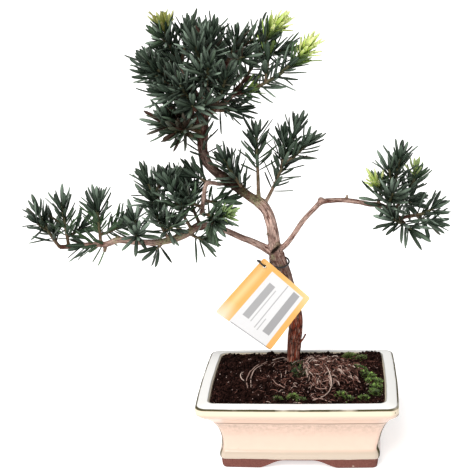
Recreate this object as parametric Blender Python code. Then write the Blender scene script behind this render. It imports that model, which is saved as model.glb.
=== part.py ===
"""Buddhist pine bonsai: a crooked trunk, limbs with strap-leaved sprays, and a low glazed pot on clay feet.

Run with: blender --background --python part.py

Sizes and places are in millimetres, and MM turns them into Blender's metres where a mesh is made.
Places are given from the middle of the pot on the table: x to the right, y away from the front, z up.
"""

import math
import random

import bmesh
import bpy
from mathutils import Matrix, Vector, noise
from mathutils.bvhtree import BVHTree

MM = 0.001
GAP = 0.3
FLAT_WITHIN = 0.5

# Where the middle of the pot stands, so that the whole tree is centred over the origin.
POT_PLACE = Vector((45.3, 0.0, 0.0))

# The pot
POT_LENGTH = 171.4
POT_WIDTH = 133.4
POT_CORNER = 9.0
POT_BOW = 1.2
CORNER_STEPS = 3
SIDE_STEPS = 2
RIM_TOP = 65.0
GLAZE_LINE = 9.5
CORNER_SHRINK = 0.22
LEAST_CORNER = 3.0
FLOOR_TOP = 17.0
DRAIN_PLACES = (-30.0, 30.0)
DRAIN_RADIUS = 6.5
DRAIN_FROM = 4.0
DRAIN_SIDES = 14
# Height and how far in from the rim's edge, from the foot up to the rim's inner edge
POT_OUTSIDE = (
    (0.0, 20.1), (0.9, 18.5), (8.6, 17.9), (GLAZE_LINE, 16.9), (12.5, 16.5), (15.5, 17.2), (18.0, 18.8),
    (25.0, 18.2), (34.0, 16.6), (42.0, 13.4), (48.0, 9.2), (52.0, 4.8), (54.6, 1.4), (56.6, 0.0),
    (62.2, 0.0), (63.6, 1.2), (RIM_TOP, 10.0),
)
# How far the hand-made wall leans to the right at some heights
POT_LEAN = ((0.0, 0.7), (18.0, 1.0), (28.0, 2.3), (38.0, 2.6), (46.0, 2.1), (52.0, 1.2), (58.0, 0.0))
POT_INSIDE = (
    (FLOOR_TOP, 28.0), (34.0, 24.8), (44.0, 21.2), (50.0, 16.8), (58.0, 12.6), (64.0, 11.2),
    (RIM_TOP + 2.0, 10.0),
)
# Half the width of the arch between two feet: at the table, at its top
FRONT_ARCH = (38.0, 12.0)
SIDE_ARCH = (26.0, 9.0)
ARCH_STEPS = 6
ARCH_TOP = 8.4
# How far in from the rim's edge the hollow under the floor starts: at the table, at its top
HOLLOW_INSET = (33.0, 34.5)
# How far a cutter goes past what it cuts
CUT_PAST = 2.0

# The drain screens over the two holes in the pot's floor
SCREEN_SIDE = 24.0
SCREEN_THICK = 1.0
SCREEN_HOLES = 2
SCREEN_BAR = 3.0

# The soil: its level at the wall, a rise at the back, and a mound round the trunk
SOIL_LEVEL = 62.2
REAR_RISE = 1.2
REAR_FROM = 10.0
REAR_REACH = 42.0
SOIL_CLEAR = 0.4
SOIL_RINGS = 8
MOUND_HEIGHT = 10.2
MOUND_PLACE = (2.0, 15.0)
MOUND_REACH = (42.0, 27.0)
HEAP_HEIGHT = 4.0
HEAP_PLACE = (64.0, 44.0)
HEAP_REACH = 14.0
CLOD_HEIGHT = 1.5
CLOD_SIZE = 7.0

# The mat of fine roots on the mound, right of the trunk
MAT_PLACE = (30.0, 6.0)
MAT_REACH = (29.0, 24.0)
MAT_HEIGHT = 3.0
MAT_EDGE = 0.8
MAT_RINGS = 4
MAT_SIDES = 16
MAT_RIDGE = 0.5
MAT_STRANDS = 7
MAT_GAP = 0.85
MAT_WAVE = 0.08
# The roots that arch over the mat, in shares of its reach: where they start, how far they go, how they wander
STRAND_START = (-0.7, 0.0)
STRAND_REACH = (0.55, 0.8)
STRAND_HEADING = 70.0
STRAND_FAN = 0.55
STRAND_WANDER = 0.06
STRAND_RADIUS = 0.8
STRAND_LIFT = 0.9
STRAND_SINK = 1.0

# The wood: stations along each limb, as x, y, z and radius
TRUNK = (
    (-6, 20, 40, 4.5), (-6, 20, 58, 5.6), (-5, 20, 75, 5.5), (-3, 20, 92, 5.3), (-1, 18, 110, 5.6),
    (-4, 14, 132, 5.9), (-9, 8, 153, 6.3), (-14, 4, 171, 6.7), (-17, 2, 184, 5.6), (-18, 0, 199, 4.7),
    (-21, -2, 214, 4.7), (-26, -4, 224, 4.7), (-34, -4, 230, 4.0), (-47, -2, 239, 3.8), (-56, 0, 246, 4.2),
    (-66, 3, 253, 4.0), (-73, 5, 261, 4.3), (-76, 7, 271, 4.1), (-76, 8, 283, 5.1), (-75, 8, 296, 5.5),
    (-72, 7, 313, 4.0), (-70, 5, 327, 3.2), (-67, 4, 345, 2.4),
)
LEFT_LIMB = (
    (-15, 3, 176, 4.2), (-29, 0, 187, 3.3), (-47, -4, 196.5, 2.8), (-61, -7, 204, 2.7), (-79, -9, 208, 3.5),
    (-94, -10, 200, 3.2), (-113, -12, 195, 2.9), (-133, -14, 196, 2.8), (-149, -17, 199, 2.9),
    (-160, -19, 196, 2.6), (-172, -20, 196, 2.3), (-190, -21, 195, 2.1), (-200, -22, 195, 2.0),
)
RIGHT_LIMB = (
    (-17, 2, 180, 3.0), (-8, 2, 186.5, 2.5), (0, 4, 196, 2.3), (8, 6, 207, 2.2), (17, 8, 216, 2.2),
    (24, 9, 222, 2.4), (34, 10, 223.2, 2.2), (45, 10, 223, 2.3), (56, 10, 221.2, 2.2), (65, 9, 219.4, 2.2),
    (73, 8, 219, 2.2), (82, 7, 215, 1.9), (88, 6, 208, 1.8), (99, 3, 210, 1.6),
)
BENT_LIMB = (
    (-54, -1, 244, 2.2), (-61, -8, 244, 1.8), (-66, -12, 246, 1.8), (-71, -14, 246, 1.9),
    (-73, -15, 241, 1.9), (-75, -16, 230, 1.8), (-76, -16, 221, 1.7),
)
CROWN_LEFT = ((-76, 8, 292, 3.2), (-86, -2, 309, 2.4), (-91, -8, 325, 2.0), (-95, -12, 335, 1.6))
CROWN_BACK = ((-73, 8, 306, 3.0), (-85, 16, 326, 2.4), (-93, 22, 341, 2.0), (-97, 22, 350, 1.6))
CROWN_RIGHT = ((-75, 8, 298, 3.2), (-60, 0, 308, 2.4), (-48, -2, 317, 2.0), (-35, -7, 322, 1.6))
CROWN_TOP = ((-70, 5, 326, 2.8), (-57, 8, 335, 2.2), (-51, 10, 345, 1.9), (-40, 12, 356, 1.5))
SNAG = ((-1, 17, 88, 1.3), (4, 13, 95, 1.0), (7, 11, 101, 0.8))
LIMBS = {
    "trunk": (TRUNK, 9), "left": (LEFT_LIMB, 7), "right": (RIGHT_LIMB, 6), "bent": (BENT_LIMB, 5),
    "crown_left": (CROWN_LEFT, 5), "crown_back": (CROWN_BACK, 5), "crown_right": (CROWN_RIGHT, 5),
    "crown_top": (CROWN_TOP, 5), "snag": (SNAG, 4),
}
# How many points of the smooth path there are for each station of a limb
TRUNK_STEPS = 2
# Roots under the soil: heading in degrees, length
ROOTS = ((15, 40), (80, 17), (160, 36), (215, 40), (300, 46))
ROOT_TOP = 60.0
ROOT_DROP = 18.0
ROOT_SHARES = (0.0, 0.45, 1.0)
ROOT_RADII = (3.4, 2.2, 1.0)
ROOT_SIDES = 5
ROOT_CLEAR = 0.45

# Sprays: name, limb, how far along it, tip of the stem, share of the stem with no leaves
SPRAYS = (
    ("crown_low_left", "trunk", 0.82, (-97, -8, 301), 0.2),
    ("crown_left_low", "crown_left", 0.39, (-101, -16, 325), 0.32),
    ("crown_left_mid", "crown_left", 0.77, (-109, -18, 340), 0.32),
    ("crown_left_tip", "crown_left", 1.0, (-112, -20, 349), 0.1),
    ("crown_left_back", "crown_back", 0.44, (-110, 32, 345), 0.32),
    ("crown_back_tip", "crown_back", 1.0, (-103, 14, 369), 0.1),
    ("crown_peak_left", "crown_back", 0.83, (-84, 16, 369), 0.15),
    ("crown_peak", "trunk", 1.0, (-64, -4, 365), 0.1),
    ("crown_peak_back", "trunk", 0.97, (-79, 35, 364), 0.25),
    ("crown_peak_right", "crown_top", 0.62, (-42, 2, 363), 0.15),
    ("crown_top_tip", "crown_top", 1.0, (-24, 24, 366), 0.1),
    ("crown_long_upper", "crown_right", 0.7, (-15, -2, 367), 0.1),
    ("crown_long_lower", "crown_right", 1.0, (8, -18, 348), 0.05),
    ("crown_right_low", "crown_right", 0.3, (-45, 18, 304), 0.2),
    ("crown_front_high", "trunk", 0.96, (-73, -20, 359), 0.25),
    ("crown_front_mid", "trunk", 0.92, (-63, -28, 345), 0.25),
    ("crown_front_left", "trunk", 0.88, (-86, -28, 330), 0.25),
    ("crown_front_right", "crown_right", 0.24, (-49, -24, 337), 0.2),
    ("crown_rear", "trunk", 0.9, (-68, 42, 331), 0.25),
    ("crown_rear_right", "crown_top", 0.2, (-57, 46, 340), 0.2),
    ("bend_front", "trunk", 0.6, (-55, -11, 264), 0.3),
    ("bend_rear", "trunk", 0.59, (-55, 24, 252), 0.3),
    ("mid_upright", "trunk", 0.575, (-29, 0, 283), 0.42),
    ("mid_leaning", "trunk", 0.56, (4, 12, 286), 0.17),
    ("bent_end", "bent", 1.0, (-60, -27, 222), 0.1),
    ("bent_left", "bent", 0.89, (-86, -24, 235), 0.15),
    ("bent_right", "bent", 0.75, (-60, 4, 226), 0.2),
    ("bent_top", "bent", 0.38, (-83, -3, 252), 0.2),
    ("left_pad_outer", "left", 0.45, (-121, -20, 251), 0.3),
    ("left_pad_front", "left", 0.41, (-102, -30, 254), 0.12),
    ("left_pad_rear", "left", 0.37, (-95, 10, 245), 0.15),
    ("left_pad_low", "left", 0.52, (-113, -26, 222), 0.2),
    ("left_mid", "left", 0.65, (-134, -18, 215), 0.15),
    ("left_tall", "left", 0.82, (-165, -20, 232), 0.12),
    ("left_upright", "left", 0.96, (-194, -24, 232), 0.15),
    ("left_end", "left", 1.0, (-213, -28, 225), 0.1),
    ("under_right", "left", 0.43, (-77, -16, 198), 0.25),
    ("under_left", "left", 0.55, (-119, -8, 188), 0.3),
    ("right_upright", "right", 0.84, (90, -2, 262), 0.1),
    ("right_behind", "right", 0.87, (104, 20, 239), 0.15),
    ("right_first", "right", 0.77, (74, -2, 235), 0.15),
    ("right_front", "right", 0.82, (83, -18, 234), 0.15),
    ("right_outer", "right", 1.0, (117, -4, 218), 0.1),
    ("right_under", "right", 0.93, (98, -8, 202), 0.2),
)
# How far from a limb's middle its leafy stems start, and from a limb's end, in millimetres
LIMB_CLEAR = {
    "trunk": 7.4, "left": 5.4, "right": 4.4, "bent": 3.8,
    "crown_left": 5.0, "crown_back": 5.0, "crown_right": 5.0, "crown_top": 4.6,
}
END_CLEAR = 2.5
MOST_BARE = 0.6
# A path's own point nearer than this to where the path is cut is left out
NEAR_CUT = 1.0
# Side stems fused to a spray's own stem: spray, how far along its stem, tip
SIDE_STEMS = (
    ("crown_low_left", 0.4, (-99, 14, 293)), ("crown_low_left", 0.5, (-105, -16, 298)),
    ("crown_low_left", 0.42, (-93, -23, 292)), ("crown_front_left", 0.42, (-77, -30, 314)),
    ("crown_left_back", 0.5, (-101, 46, 329)), ("crown_peak_back", 0.4, (-63, 40, 354)),
    ("crown_peak_right", 0.25, (-36, -12, 350)), ("crown_long_upper", 0.7, (-3, 2, 353)),
    ("crown_long_lower", 0.35, (-16, -6, 350)), ("bent_end", 0.35, (-65, -33, 217)),
    ("left_pad_low", 0.4, (-100, -28, 213)), ("left_mid", 0.42, (-131, -30, 206)),
    ("left_tall", 0.25, (-153, -6, 207)), ("left_upright", 0.25, (-184, -6, 208)),
    ("left_end", 0.2, (-206, -14, 211)), ("right_upright", 0.4, (81, -5, 251)),
    ("right_under", 0.45, (84, -12, 212)), ("right_outer", 0.25, (119, 16, 201)),
    ("right_behind", 0.35, (103, 36, 215)), ("mid_leaning", 0.5, (-7, 14, 276)),
    ("mid_leaning", 0.55, (14, 10, 275)),
)
# Young pale shoots that go on from a spray's tip: name, spray, tip, number of leaves
YOUNG_SHOOTS = (
    ("young_crown_left", "crown_back_tip", (-104, 12, 376), 12),
    ("young_crown_peak", "crown_long_upper", (-9, -3, 373), 10),
    ("young_crown_right", "crown_long_lower", (14, -20, 355), 12),
    ("young_right_first", "right_first", (71, -5, 241), 8),
    ("young_right_behind", "right_behind", (104, 20, 245), 6),
    ("young_bent_end", "bent_end", (-54, -31, 224), 8),
)

# Leaves
LEAF_LENGTH = (16.5, 22.5)
LEAF_WIDTH = (3.4, 4.1)
LEAF_THICK = 0.95
LEAF_FOOT = 0.3
LEAF_WIDEST = 0.6
LEAF_TIP_KEEL = 0.3
LEAF_MOST_BEND = 0.12
LEAF_STEP = 3.7
LEAST_LEAVES = 6
# How leaves sit along a stem, in shares: the first, each one's place in its step, how they crowd at the tip
FIRST_LEAF = 0.06
LEAF_OFFSET = 0.6
LEAF_CROWDING = 1.25
TURN = 137.5
TURN_SWAY = 40.0
SPREAD = (58.0, 21.0)
SPREAD_SWAY = 9.0
TUFT_LEAVES = 3
TUFT_FROM = 0.8
TUFT_SHORTER = 0.2
YOUNG_LENGTH = (13.0, 18.0)
YOUNG_WIDTH = (2.0, 2.6)
YOUNG_GAP = 0.7
YOUNG_TIP_RADIUS = 0.5
YOUNG_SPREAD = 0.75
# How much of a side stem and of a young shoot has no leaves
SIDE_BARE = 0.25
YOUNG_BARE = 0.15
STEM_RADII = (1.55, 1.2)
STEM_SIDES = 3
STEM_SAG = 0.13
LONG_STEM = 38.0
TWIG_SWELL = 0.2
FACET_SWAY = 0.5
CLEAR_OF_LEAF = (1.04, 1.2)
CLEAR_FROM = 3.0
TRIES = 5

# The hang tag and the tie that holds it to the trunk
TAG_SIZE = (57.3, 53.7)
TAG_THICK = 0.8
# How much longer the card's upper left edge is than its lower right one, and its lower left one than its
# upper right one
TAG_FLARE = (5.6, 4.8)
TAG_TOP_CORNER = Vector((-26.0, -8.5, 178.5))
TAG_TILT = 44.35
TAG_LEAN = -6.0
TAG_TURN = 8.0
TAG_HOLE_INSET = 5.2
TAG_HOLE_RADIUS = 1.4
TAG_HOLE_SIDES = 10
TIE_RADIUS = 0.8
TIE_SIDES = 4
TIE_HEIGHT = 170.5
TIE_LOOP_RADIUS = 8.5
TIE_HEADINGS = (205, 160, 120, 80, 40, 0, -40, -80)
TIE_OVER_EDGE = 2.2
TIE_FRONT = 2.2
TIE_BEHIND = (3.6, 1.3)
TIE_RISE = 2.5

COLOURS = {
    "glaze": (0.86, 0.76, 0.62, 1.0),
    "soil": (0.045, 0.03, 0.025, 1.0),
    "bark": (0.30, 0.16, 0.11, 1.0),
    "leaf": (0.035, 0.075, 0.045, 1.0),
    "young_leaf": (0.42, 0.62, 0.10, 1.0),
    "root": (0.28, 0.15, 0.10, 1.0),
    "card": (0.93, 0.62, 0.22, 1.0),
    "tie": (0.02, 0.02, 0.02, 1.0),
    "screen": (0.02, 0.02, 0.02, 1.0),
}
ROUGHNESS = {"glaze": 0.25, "leaf": 0.4, "young_leaf": 0.45, "screen": 0.5, "tie": 0.5}
ROUGH = 0.85


def clear_scene():
    for obj in list(bpy.data.objects):
        bpy.data.objects.remove(obj, do_unlink=True)


def material(name):
    found = bpy.data.materials.get(name)
    if found:
        return found
    made = bpy.data.materials.new(name)
    made.use_nodes = True
    shader = made.node_tree.nodes["Principled BSDF"]
    shader.inputs["Base Color"].default_value = COLOURS[name]
    shader.inputs["Roughness"].default_value = ROUGHNESS.get(name, ROUGH)
    shader.inputs["Metallic"].default_value = 0.0
    return made


def add_object(name, points, faces, finish=None):
    """An object whose mesh has these points, in millimetres from the pot's middle."""
    mesh = bpy.data.meshes.new(name)
    mesh.from_pydata([(Vector(p) + POT_PLACE) * MM for p in points], [], faces)
    mesh.update()
    obj = bpy.data.objects.new(name, mesh)
    bpy.context.scene.collection.objects.link(obj)
    if finish:
        mesh.materials.append(material(finish))
    return obj


def apply_boolean(obj, others, operation, solver="EXACT"):
    """Joins the other objects to obj, or cuts them out of it, and removes them."""
    tools = bpy.data.collections.new("tools")
    bpy.context.scene.collection.children.link(tools)
    for other in others:
        bpy.context.scene.collection.objects.unlink(other)
        tools.objects.link(other)
    boolean = obj.modifiers.new("Boolean", "BOOLEAN")
    boolean.operation = operation
    boolean.solver = solver
    boolean.operand_type = "COLLECTION"
    boolean.collection = tools
    graph = bpy.context.evaluated_depsgraph_get()
    made = bpy.data.meshes.new_from_object(obj.evaluated_get(graph))
    obj.modifiers.clear()
    obj.data = made
    merge_flat_faces(made)
    for other in others:
        bpy.data.objects.remove(other, do_unlink=True)
    bpy.data.collections.remove(tools)


def merge_flat_faces(data):
    """Takes out the edges and points that a Boolean leaves within flat faces."""
    mesh = bmesh.new()
    mesh.from_mesh(data)
    bmesh.ops.dissolve_limit(mesh, angle_limit=math.radians(FLAT_WITHIN), verts=mesh.verts, edges=mesh.edges)
    bmesh.ops.triangulate(mesh, faces=mesh.faces)
    mesh.to_mesh(data)
    mesh.free()


def shade_round(obj, angle=40.0):
    obj.data.shade_smooth()
    obj.data.set_sharp_from_angle(angle=math.radians(angle))


def rings_to_faces(rings, size, closed_ends=True):
    """Faces between rings of points, each of the given size, numbered one after another."""
    faces = []
    for ring in range(rings - 1):
        for i in range(size):
            a, b = ring * size + i, ring * size + (i + 1) % size
            faces.append((a, b, b + size, a + size))
    if closed_ends:
        faces.append(tuple(reversed(range(size))))
        faces.append(tuple(range((rings - 1) * size, rings * size)))
    return faces


def smooth_path(stations, steps):
    """Points of a Catmull-Rom curve through the stations, which may carry a radius as a last value."""
    stations = [Vector(s) for s in stations]
    padded = [2 * stations[0] - stations[1], *stations, 2 * stations[-1] - stations[-2]]
    points = []
    for a, b, c, d in zip(padded, padded[1:], padded[2:], padded[3:]):
        for step in range(steps):
            t = step / steps
            bend = (2 * a - 5 * b + 4 * c - d) * t * t + (3 * b - a - 3 * c + d) * t ** 3
            points.append(0.5 * (2 * b + (c - a) * t + bend))
    points.append(stations[-1])
    return points


def along(path, share):
    """The point and the direction at a share of the path's length."""
    points = [Vector(p[:3]) for p in path]
    lengths = [(b - a).length for a, b in zip(points, points[1:])]
    left = share * sum(lengths)
    for a, b, length in zip(points, points[1:], lengths):
        if left <= length or b is points[-1]:
            return a.lerp(b, min(left / length, 1.0)), (b - a).normalized()
        left -= length
    return points[-1], (points[-1] - points[-2]).normalized()


def level_of(direction):
    """A level unit vector square to the direction."""
    level = direction.cross(Vector((0, 0, 1)))
    return level.normalized() if level.length > 0.01 * direction.length else Vector((1, 0, 0))


def tube(path, radii, sides):
    """Points and faces of a closed tube along a path, its rings turned as little as can be."""
    path = [Vector(p) for p in path]
    across = level_of(path[1] - path[0])
    points = []
    for i, (centre, radius) in enumerate(zip(path, radii)):
        ahead = (path[min(i + 1, len(path) - 1)] - path[max(i - 1, 0)]).normalized()
        across = (across - ahead * across.dot(ahead)).normalized()
        beside = ahead.cross(across)
        for side in range(sides):
            angle = 2 * math.pi * side / sides
            points.append(centre + radius * (math.cos(angle) * across + math.sin(angle) * beside))
    return points, rings_to_faces(len(path), sides)


def outline(inset, height):
    """A rounded rectangle with slightly bowed sides, this far in from the rim's edge."""
    half_x, half_y = POT_LENGTH / 2 - inset, POT_WIDTH / 2 - inset
    corner = max(POT_CORNER - CORNER_SHRINK * inset, LEAST_CORNER)
    points = []
    for quarter, (sx, sy) in enumerate(((1, 1), (-1, 1), (-1, -1), (1, -1))):
        middle = Vector((sx * (half_x - corner), sy * (half_y - corner), height))
        for step in range(CORNER_STEPS + 1):
            angle = math.radians(90 * quarter + 90 * step / CORNER_STEPS)
            points.append(middle + corner * Vector((math.cos(angle), math.sin(angle), 0)))
        along_x = sx * sy > 0
        reach = (half_x if along_x else half_y) - corner
        start = points[-1]
        way = Vector((-sx, 0, 0)) if along_x else Vector((0, -sy, 0))
        out = Vector((0, sy, 0)) if along_x else Vector((sx, 0, 0))
        for step in range(1, SIDE_STEPS):
            share = step / SIDE_STEPS
            points.append(start + way * 2 * reach * share + out * POT_BOW * (1 - (2 * share - 1) ** 2))
    return points


def value_at(place, rows):
    """A value between those listed for places in rising order."""
    for (p0, v0), (p1, v1) in zip(rows, rows[1:]):
        if place <= p1:
            return v0 + (v1 - v0) * (place - p0) / (p1 - p0)
    return rows[-1][1]


def loft(name, profile, finish=None, lean=((0.0, 0.0), (1.0, 0.0))):
    rings = [outline(inset, height) for height, inset in profile]
    points = [p + Vector((value_at(p.z, lean), 0, 0)) for ring in rings for p in ring]
    return add_object(name, points, rings_to_faces(len(rings), len(rings[0])), finish)


def arch_cutter(name, widths, lengthways):
    """A prism under the pot whose top is the arch between two feet."""
    low, high = widths
    rise = []
    for step in range(ARCH_STEPS + 1):
        share = step / ARCH_STEPS
        rise.append((low + (high - low) * share, ARCH_TOP * (1 - math.cos(math.pi * share)) / 2))
    left = [(-w, z) for w, z in [(low, -CUT_PAST), *rise]]
    section = [*left, *[(-w, z) for w, z in reversed(left)]]
    points = []
    for end in (-POT_LENGTH, POT_LENGTH):
        points += [(end, w, z) if lengthways else (w, end, z) for w, z in section]
    return add_object(name, points, rings_to_faces(2, len(section)))


def turn_outwards(obj):
    mesh = bmesh.new()
    mesh.from_mesh(obj.data)
    bmesh.ops.recalc_face_normals(mesh, faces=mesh.faces)
    mesh.to_mesh(obj.data)
    mesh.free()


def make_pot():
    """The glazed body with its coved sides, rim and clay feet, fired as one piece."""
    pot = loft("pot", POT_OUTSIDE, "glaze", POT_LEAN)
    cavity = loft("cavity", POT_INSIDE)
    hollow = loft("hollow", ((-CUT_PAST, HOLLOW_INSET[0]), (ARCH_TOP, HOLLOW_INSET[1])))
    arches = [arch_cutter("front_arch", FRONT_ARCH, False), arch_cutter("side_arch", SIDE_ARCH, True)]
    cutters = [cavity, hollow, *arches]
    for x in DRAIN_PLACES:
        drain = [(x, 0, DRAIN_FROM), (x, 0, FLOOR_TOP + CUT_PAST)]
        cutters.append(add_object("drain", *tube(drain, [DRAIN_RADIUS] * 2, DRAIN_SIDES)))
    for piece in [pot, *cutters]:
        turn_outwards(piece)
    apply_boolean(pot, cutters, "DIFFERENCE", "MANIFOLD")
    shade_round(pot)


def make_screens():
    """A square plastic screen over each drain hole, which keeps the soil in."""
    half = SCREEN_SIDE / 2
    low = FLOOR_TOP + GAP
    pitch = (SCREEN_SIDE - SCREEN_BAR) / SCREEN_HOLES
    hole = (pitch - SCREEN_BAR) / 2
    for side, x in zip(("left", "right"), DRAIN_PLACES):
        plate = box(f"drain_screen_{side}", (x, 0), half, low, low + SCREEN_THICK, "screen")
        centres = [-half + SCREEN_BAR / 2 + pitch * (i + 0.5) for i in range(SCREEN_HOLES)]
        top = low + SCREEN_THICK + CUT_PAST
        holes = [box("hole", (x + u, v), hole, low - CUT_PAST, top) for u in centres for v in centres]
        apply_boolean(plate, holes, "DIFFERENCE")


def box(name, centre, half, low, high, finish=None):
    x, y = centre
    corners = ((-1, -1), (1, -1), (1, 1), (-1, 1))
    points = [(x + sx * half, y + sy * half, z) for z in (low, high) for sx, sy in corners]
    return add_object(name, points, rings_to_faces(2, 4), finish)


def bell(x, y, place, reach):
    return math.exp(-(((x - place[0]) / reach[0]) ** 2) - ((y - place[1]) / reach[1]) ** 2)


def soil_height(x, y, clods=True):
    """How high the soil stands at a place: the level at the wall, its rises and its clods."""
    height = SOIL_LEVEL + MOUND_HEIGHT * bell(x, y, MOUND_PLACE, MOUND_REACH)
    height += HEAP_HEIGHT * bell(x, y, HEAP_PLACE, (HEAP_REACH, HEAP_REACH))
    height += REAR_RISE * min(1.0, max(0.0, (y - REAR_FROM) / REAR_REACH)) ** 2
    if clods:
        near_mat = bell(x, y, MAT_PLACE, [1.3 * r for r in MAT_REACH]) ** 2
        place = Vector((x / CLOD_SIZE, y / CLOD_SIZE, 3.7))
        height += CLOD_HEIGHT * (1 - min(1.0, 1.6 * near_mat)) * noise.noise(place)
    return height


def wall_inset(height):
    """How far in from the rim's edge the pot's inner wall stands at a height."""
    return value_at(height, POT_INSIDE)


def make_soil(wood_under_soil):
    """The soil that fills the pot, with plain holes for the trunk and its roots."""
    low = FLOOR_TOP + GAP + SCREEN_THICK + GAP
    levels = [low, *[z for z, _ in POT_INSIDE if low < z < SOIL_LEVEL - 1.0]]
    rings = [outline(wall_inset(z) + SOIL_CLEAR, z) for z in levels]
    edge = outline(wall_inset(SOIL_LEVEL) + SOIL_CLEAR, 0)
    for step in range(SOIL_RINGS):
        share = 1 - step / SOIL_RINGS
        rings.append([(p.x * share, p.y * share, soil_height(p.x * share, p.y * share)) for p in edge])
    size = len(rings[0])
    points = [p for ring in rings for p in ring]
    faces = rings_to_faces(len(rings), size, closed_ends=False)
    faces.append(tuple(reversed(range(size))))
    points.append(Vector((0, 0, soil_height(0, 0))))
    last = (len(rings) - 1) * size
    faces += [(last + i, last + (i + 1) % size, len(points) - 1) for i in range(size)]
    soil = add_object("soil", points, faces, "soil")
    turn_outwards(soil)
    triangulate(soil)
    apply_boolean(soil, wood_under_soil, "DIFFERENCE")


def triangulate(obj):
    mesh = bmesh.new()
    mesh.from_mesh(obj.data)
    bmesh.ops.triangulate(mesh, faces=mesh.faces)
    mesh.to_mesh(obj.data)
    mesh.free()


def limb_path(name):
    stations, _ = LIMBS[name]
    return smooth_path(stations, TRUNK_STEPS if name == "trunk" else 1)


def root_stations(heading, length):
    way = Vector((math.cos(math.radians(heading)), math.sin(math.radians(heading)), 0))
    start = Vector((TRUNK[1][0], TRUNK[1][1], ROOT_TOP))
    return [start + way * length * s - Vector((0, 0, ROOT_DROP * s * s)) for s in ROOT_SHARES]


def spray_paths():
    """Each spray's stems: its own from the limb, then those that branch from it, as smooth paths."""
    paths = {}
    for name, limb, share, tip, _ in SPRAYS:
        start, _ = along(limb_path(limb), share)
        paths[name] = [stem_path(start, Vector(tip))]
    for name, share, tip in SIDE_STEMS:
        start, _ = along(paths[name][0], share)
        paths[name].append(stem_path(start, Vector(tip)))
    return paths


def stem_path(start, tip):
    """A stem that leaves level and turns up towards its tip."""
    length = (tip - start).length
    middle = start.lerp(tip, 0.5) - Vector((0, 0, STEM_SAG * length))
    steps = 3 if length > LONG_STEM else 2
    points = []
    for step in range(steps + 1):
        t = step / steps
        points.append((1 - t) ** 2 * start + 2 * t * (1 - t) * middle + t * t * tip)
    return points


def cut_path(path, start, end):
    """The part of a path between two shares of its length."""
    length = path_length(path)
    kept = [along(path, start)[0]]
    run = 0.0
    for a, b in zip(path, path[1:]):
        run += (b - a).length
        if start * length + NEAR_CUT < run < end * length - NEAR_CUT:
            kept.append(b)
    kept.append(along(path, end)[0])
    return kept


def path_length(path):
    return sum((b - a).length for a, b in zip(path, path[1:]))


def spray_starts(paths):
    """Where along its stem each spray starts: past its limb's bark, and past the bare stretch."""
    starts = {}
    for name, limb, share, _, bare in SPRAYS:
        path = paths[name][0]
        thick = LIMB_CLEAR[limb] if share < 1.0 else END_CLEAR
        starts[name] = min(MOST_BARE, max(bare, thick / path_length(path)))
    return starts


def stem_radius(share):
    return STEM_RADII[0] + (STEM_RADII[1] - STEM_RADII[0]) * share


def limb_pieces():
    """The path and the radii of each limb, as it is and without its twigs."""
    for name, (_, sides) in LIMBS.items():
        path = limb_path(name)
        yield [p.to_3d() for p in path], [p[3] for p in path], sides


def root_pieces():
    for heading, length in ROOTS:
        yield root_stations(heading, length), ROOT_RADII, ROOT_SIDES


def twig_pieces(paths, starts):
    for name in starts:
        path = paths[name][0]
        twig = cut_path(path, 0.0, starts[name] - GAP / 2 / path_length(path))
        radii = [stem_radius(0) + TWIG_SWELL * (1 - i / (len(twig) - 1)) for i in range(len(twig))]
        yield twig, radii, STEM_SIDES


def grown(path, radii, sides, by):
    """A tube this much bigger all round, and longer at both ends."""
    first = (path[0] - path[1]).normalized() * by
    last = (path[-1] - path[-2]).normalized() * by
    return tube([path[0] + first, *path[1:-1], path[-1] + last], [r + by for r in radii], sides)


def make_wood(pieces):
    """The trunk, its limbs, roots and twigs, grown together."""
    wood = add_object("trunk_and_limbs", *pieces[0], "bark")
    others = [add_object("limb", *piece) for piece in pieces[1:]]
    apply_boolean(wood, others, "UNION", "MANIFOLD")
    shade_round(wood, 60.0)


def leaf(root, ahead, face, length, width, bend):
    """A narrow blade with a keel: foot sunk in the stem, widest past the middle, pointed tip."""
    across = ahead.cross(face).normalized()
    points = []
    for share, size in ((0.0, LEAF_FOOT), (LEAF_WIDEST, 1.0)):
        centre = root + ahead * length * share - face * bend * length * share * share
        points += [centre + across * size * width / 2, centre - across * size * width / 2]
        points.append(centre - face * size * LEAF_THICK)
    points.append(root + ahead * length - face * (bend * length + LEAF_TIP_KEEL * LEAF_THICK))
    faces = [(0, 1, 2)]
    for i in range(3):
        j = (i + 1) % 3
        faces += [(i, i + 3, j + 3, j), (i + 3, 6, j + 3)]
    return points, faces


def leaf_places(name, path, start, young=0):
    """Where each leaf of a stem sits: share of the stem, turn about it, and how far it spreads."""
    length = path_length(path) * (1 - start)
    count = young or max(LEAST_LEAVES, round(length / LEAF_STEP) + TUFT_LEAVES)
    first = random.Random(name).uniform(0, 360)
    for i in range(count):
        share = (i + LEAF_OFFSET) / count
        if not young:
            share = 1 - (1 - share) ** LEAF_CROWDING
        place = FIRST_LEAF + (1 - FIRST_LEAF) * share
        yield i, start + (1 - start) * place, first + TURN * i, share


def facet_turn(turn):
    """A turn about the stem drawn towards the middle of the stem's nearest flat side."""
    step = 360 / STEM_SIDES
    middle = step * (math.floor(turn / step) + 0.5)
    return middle + FACET_SWAY * (turn - middle)


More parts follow.
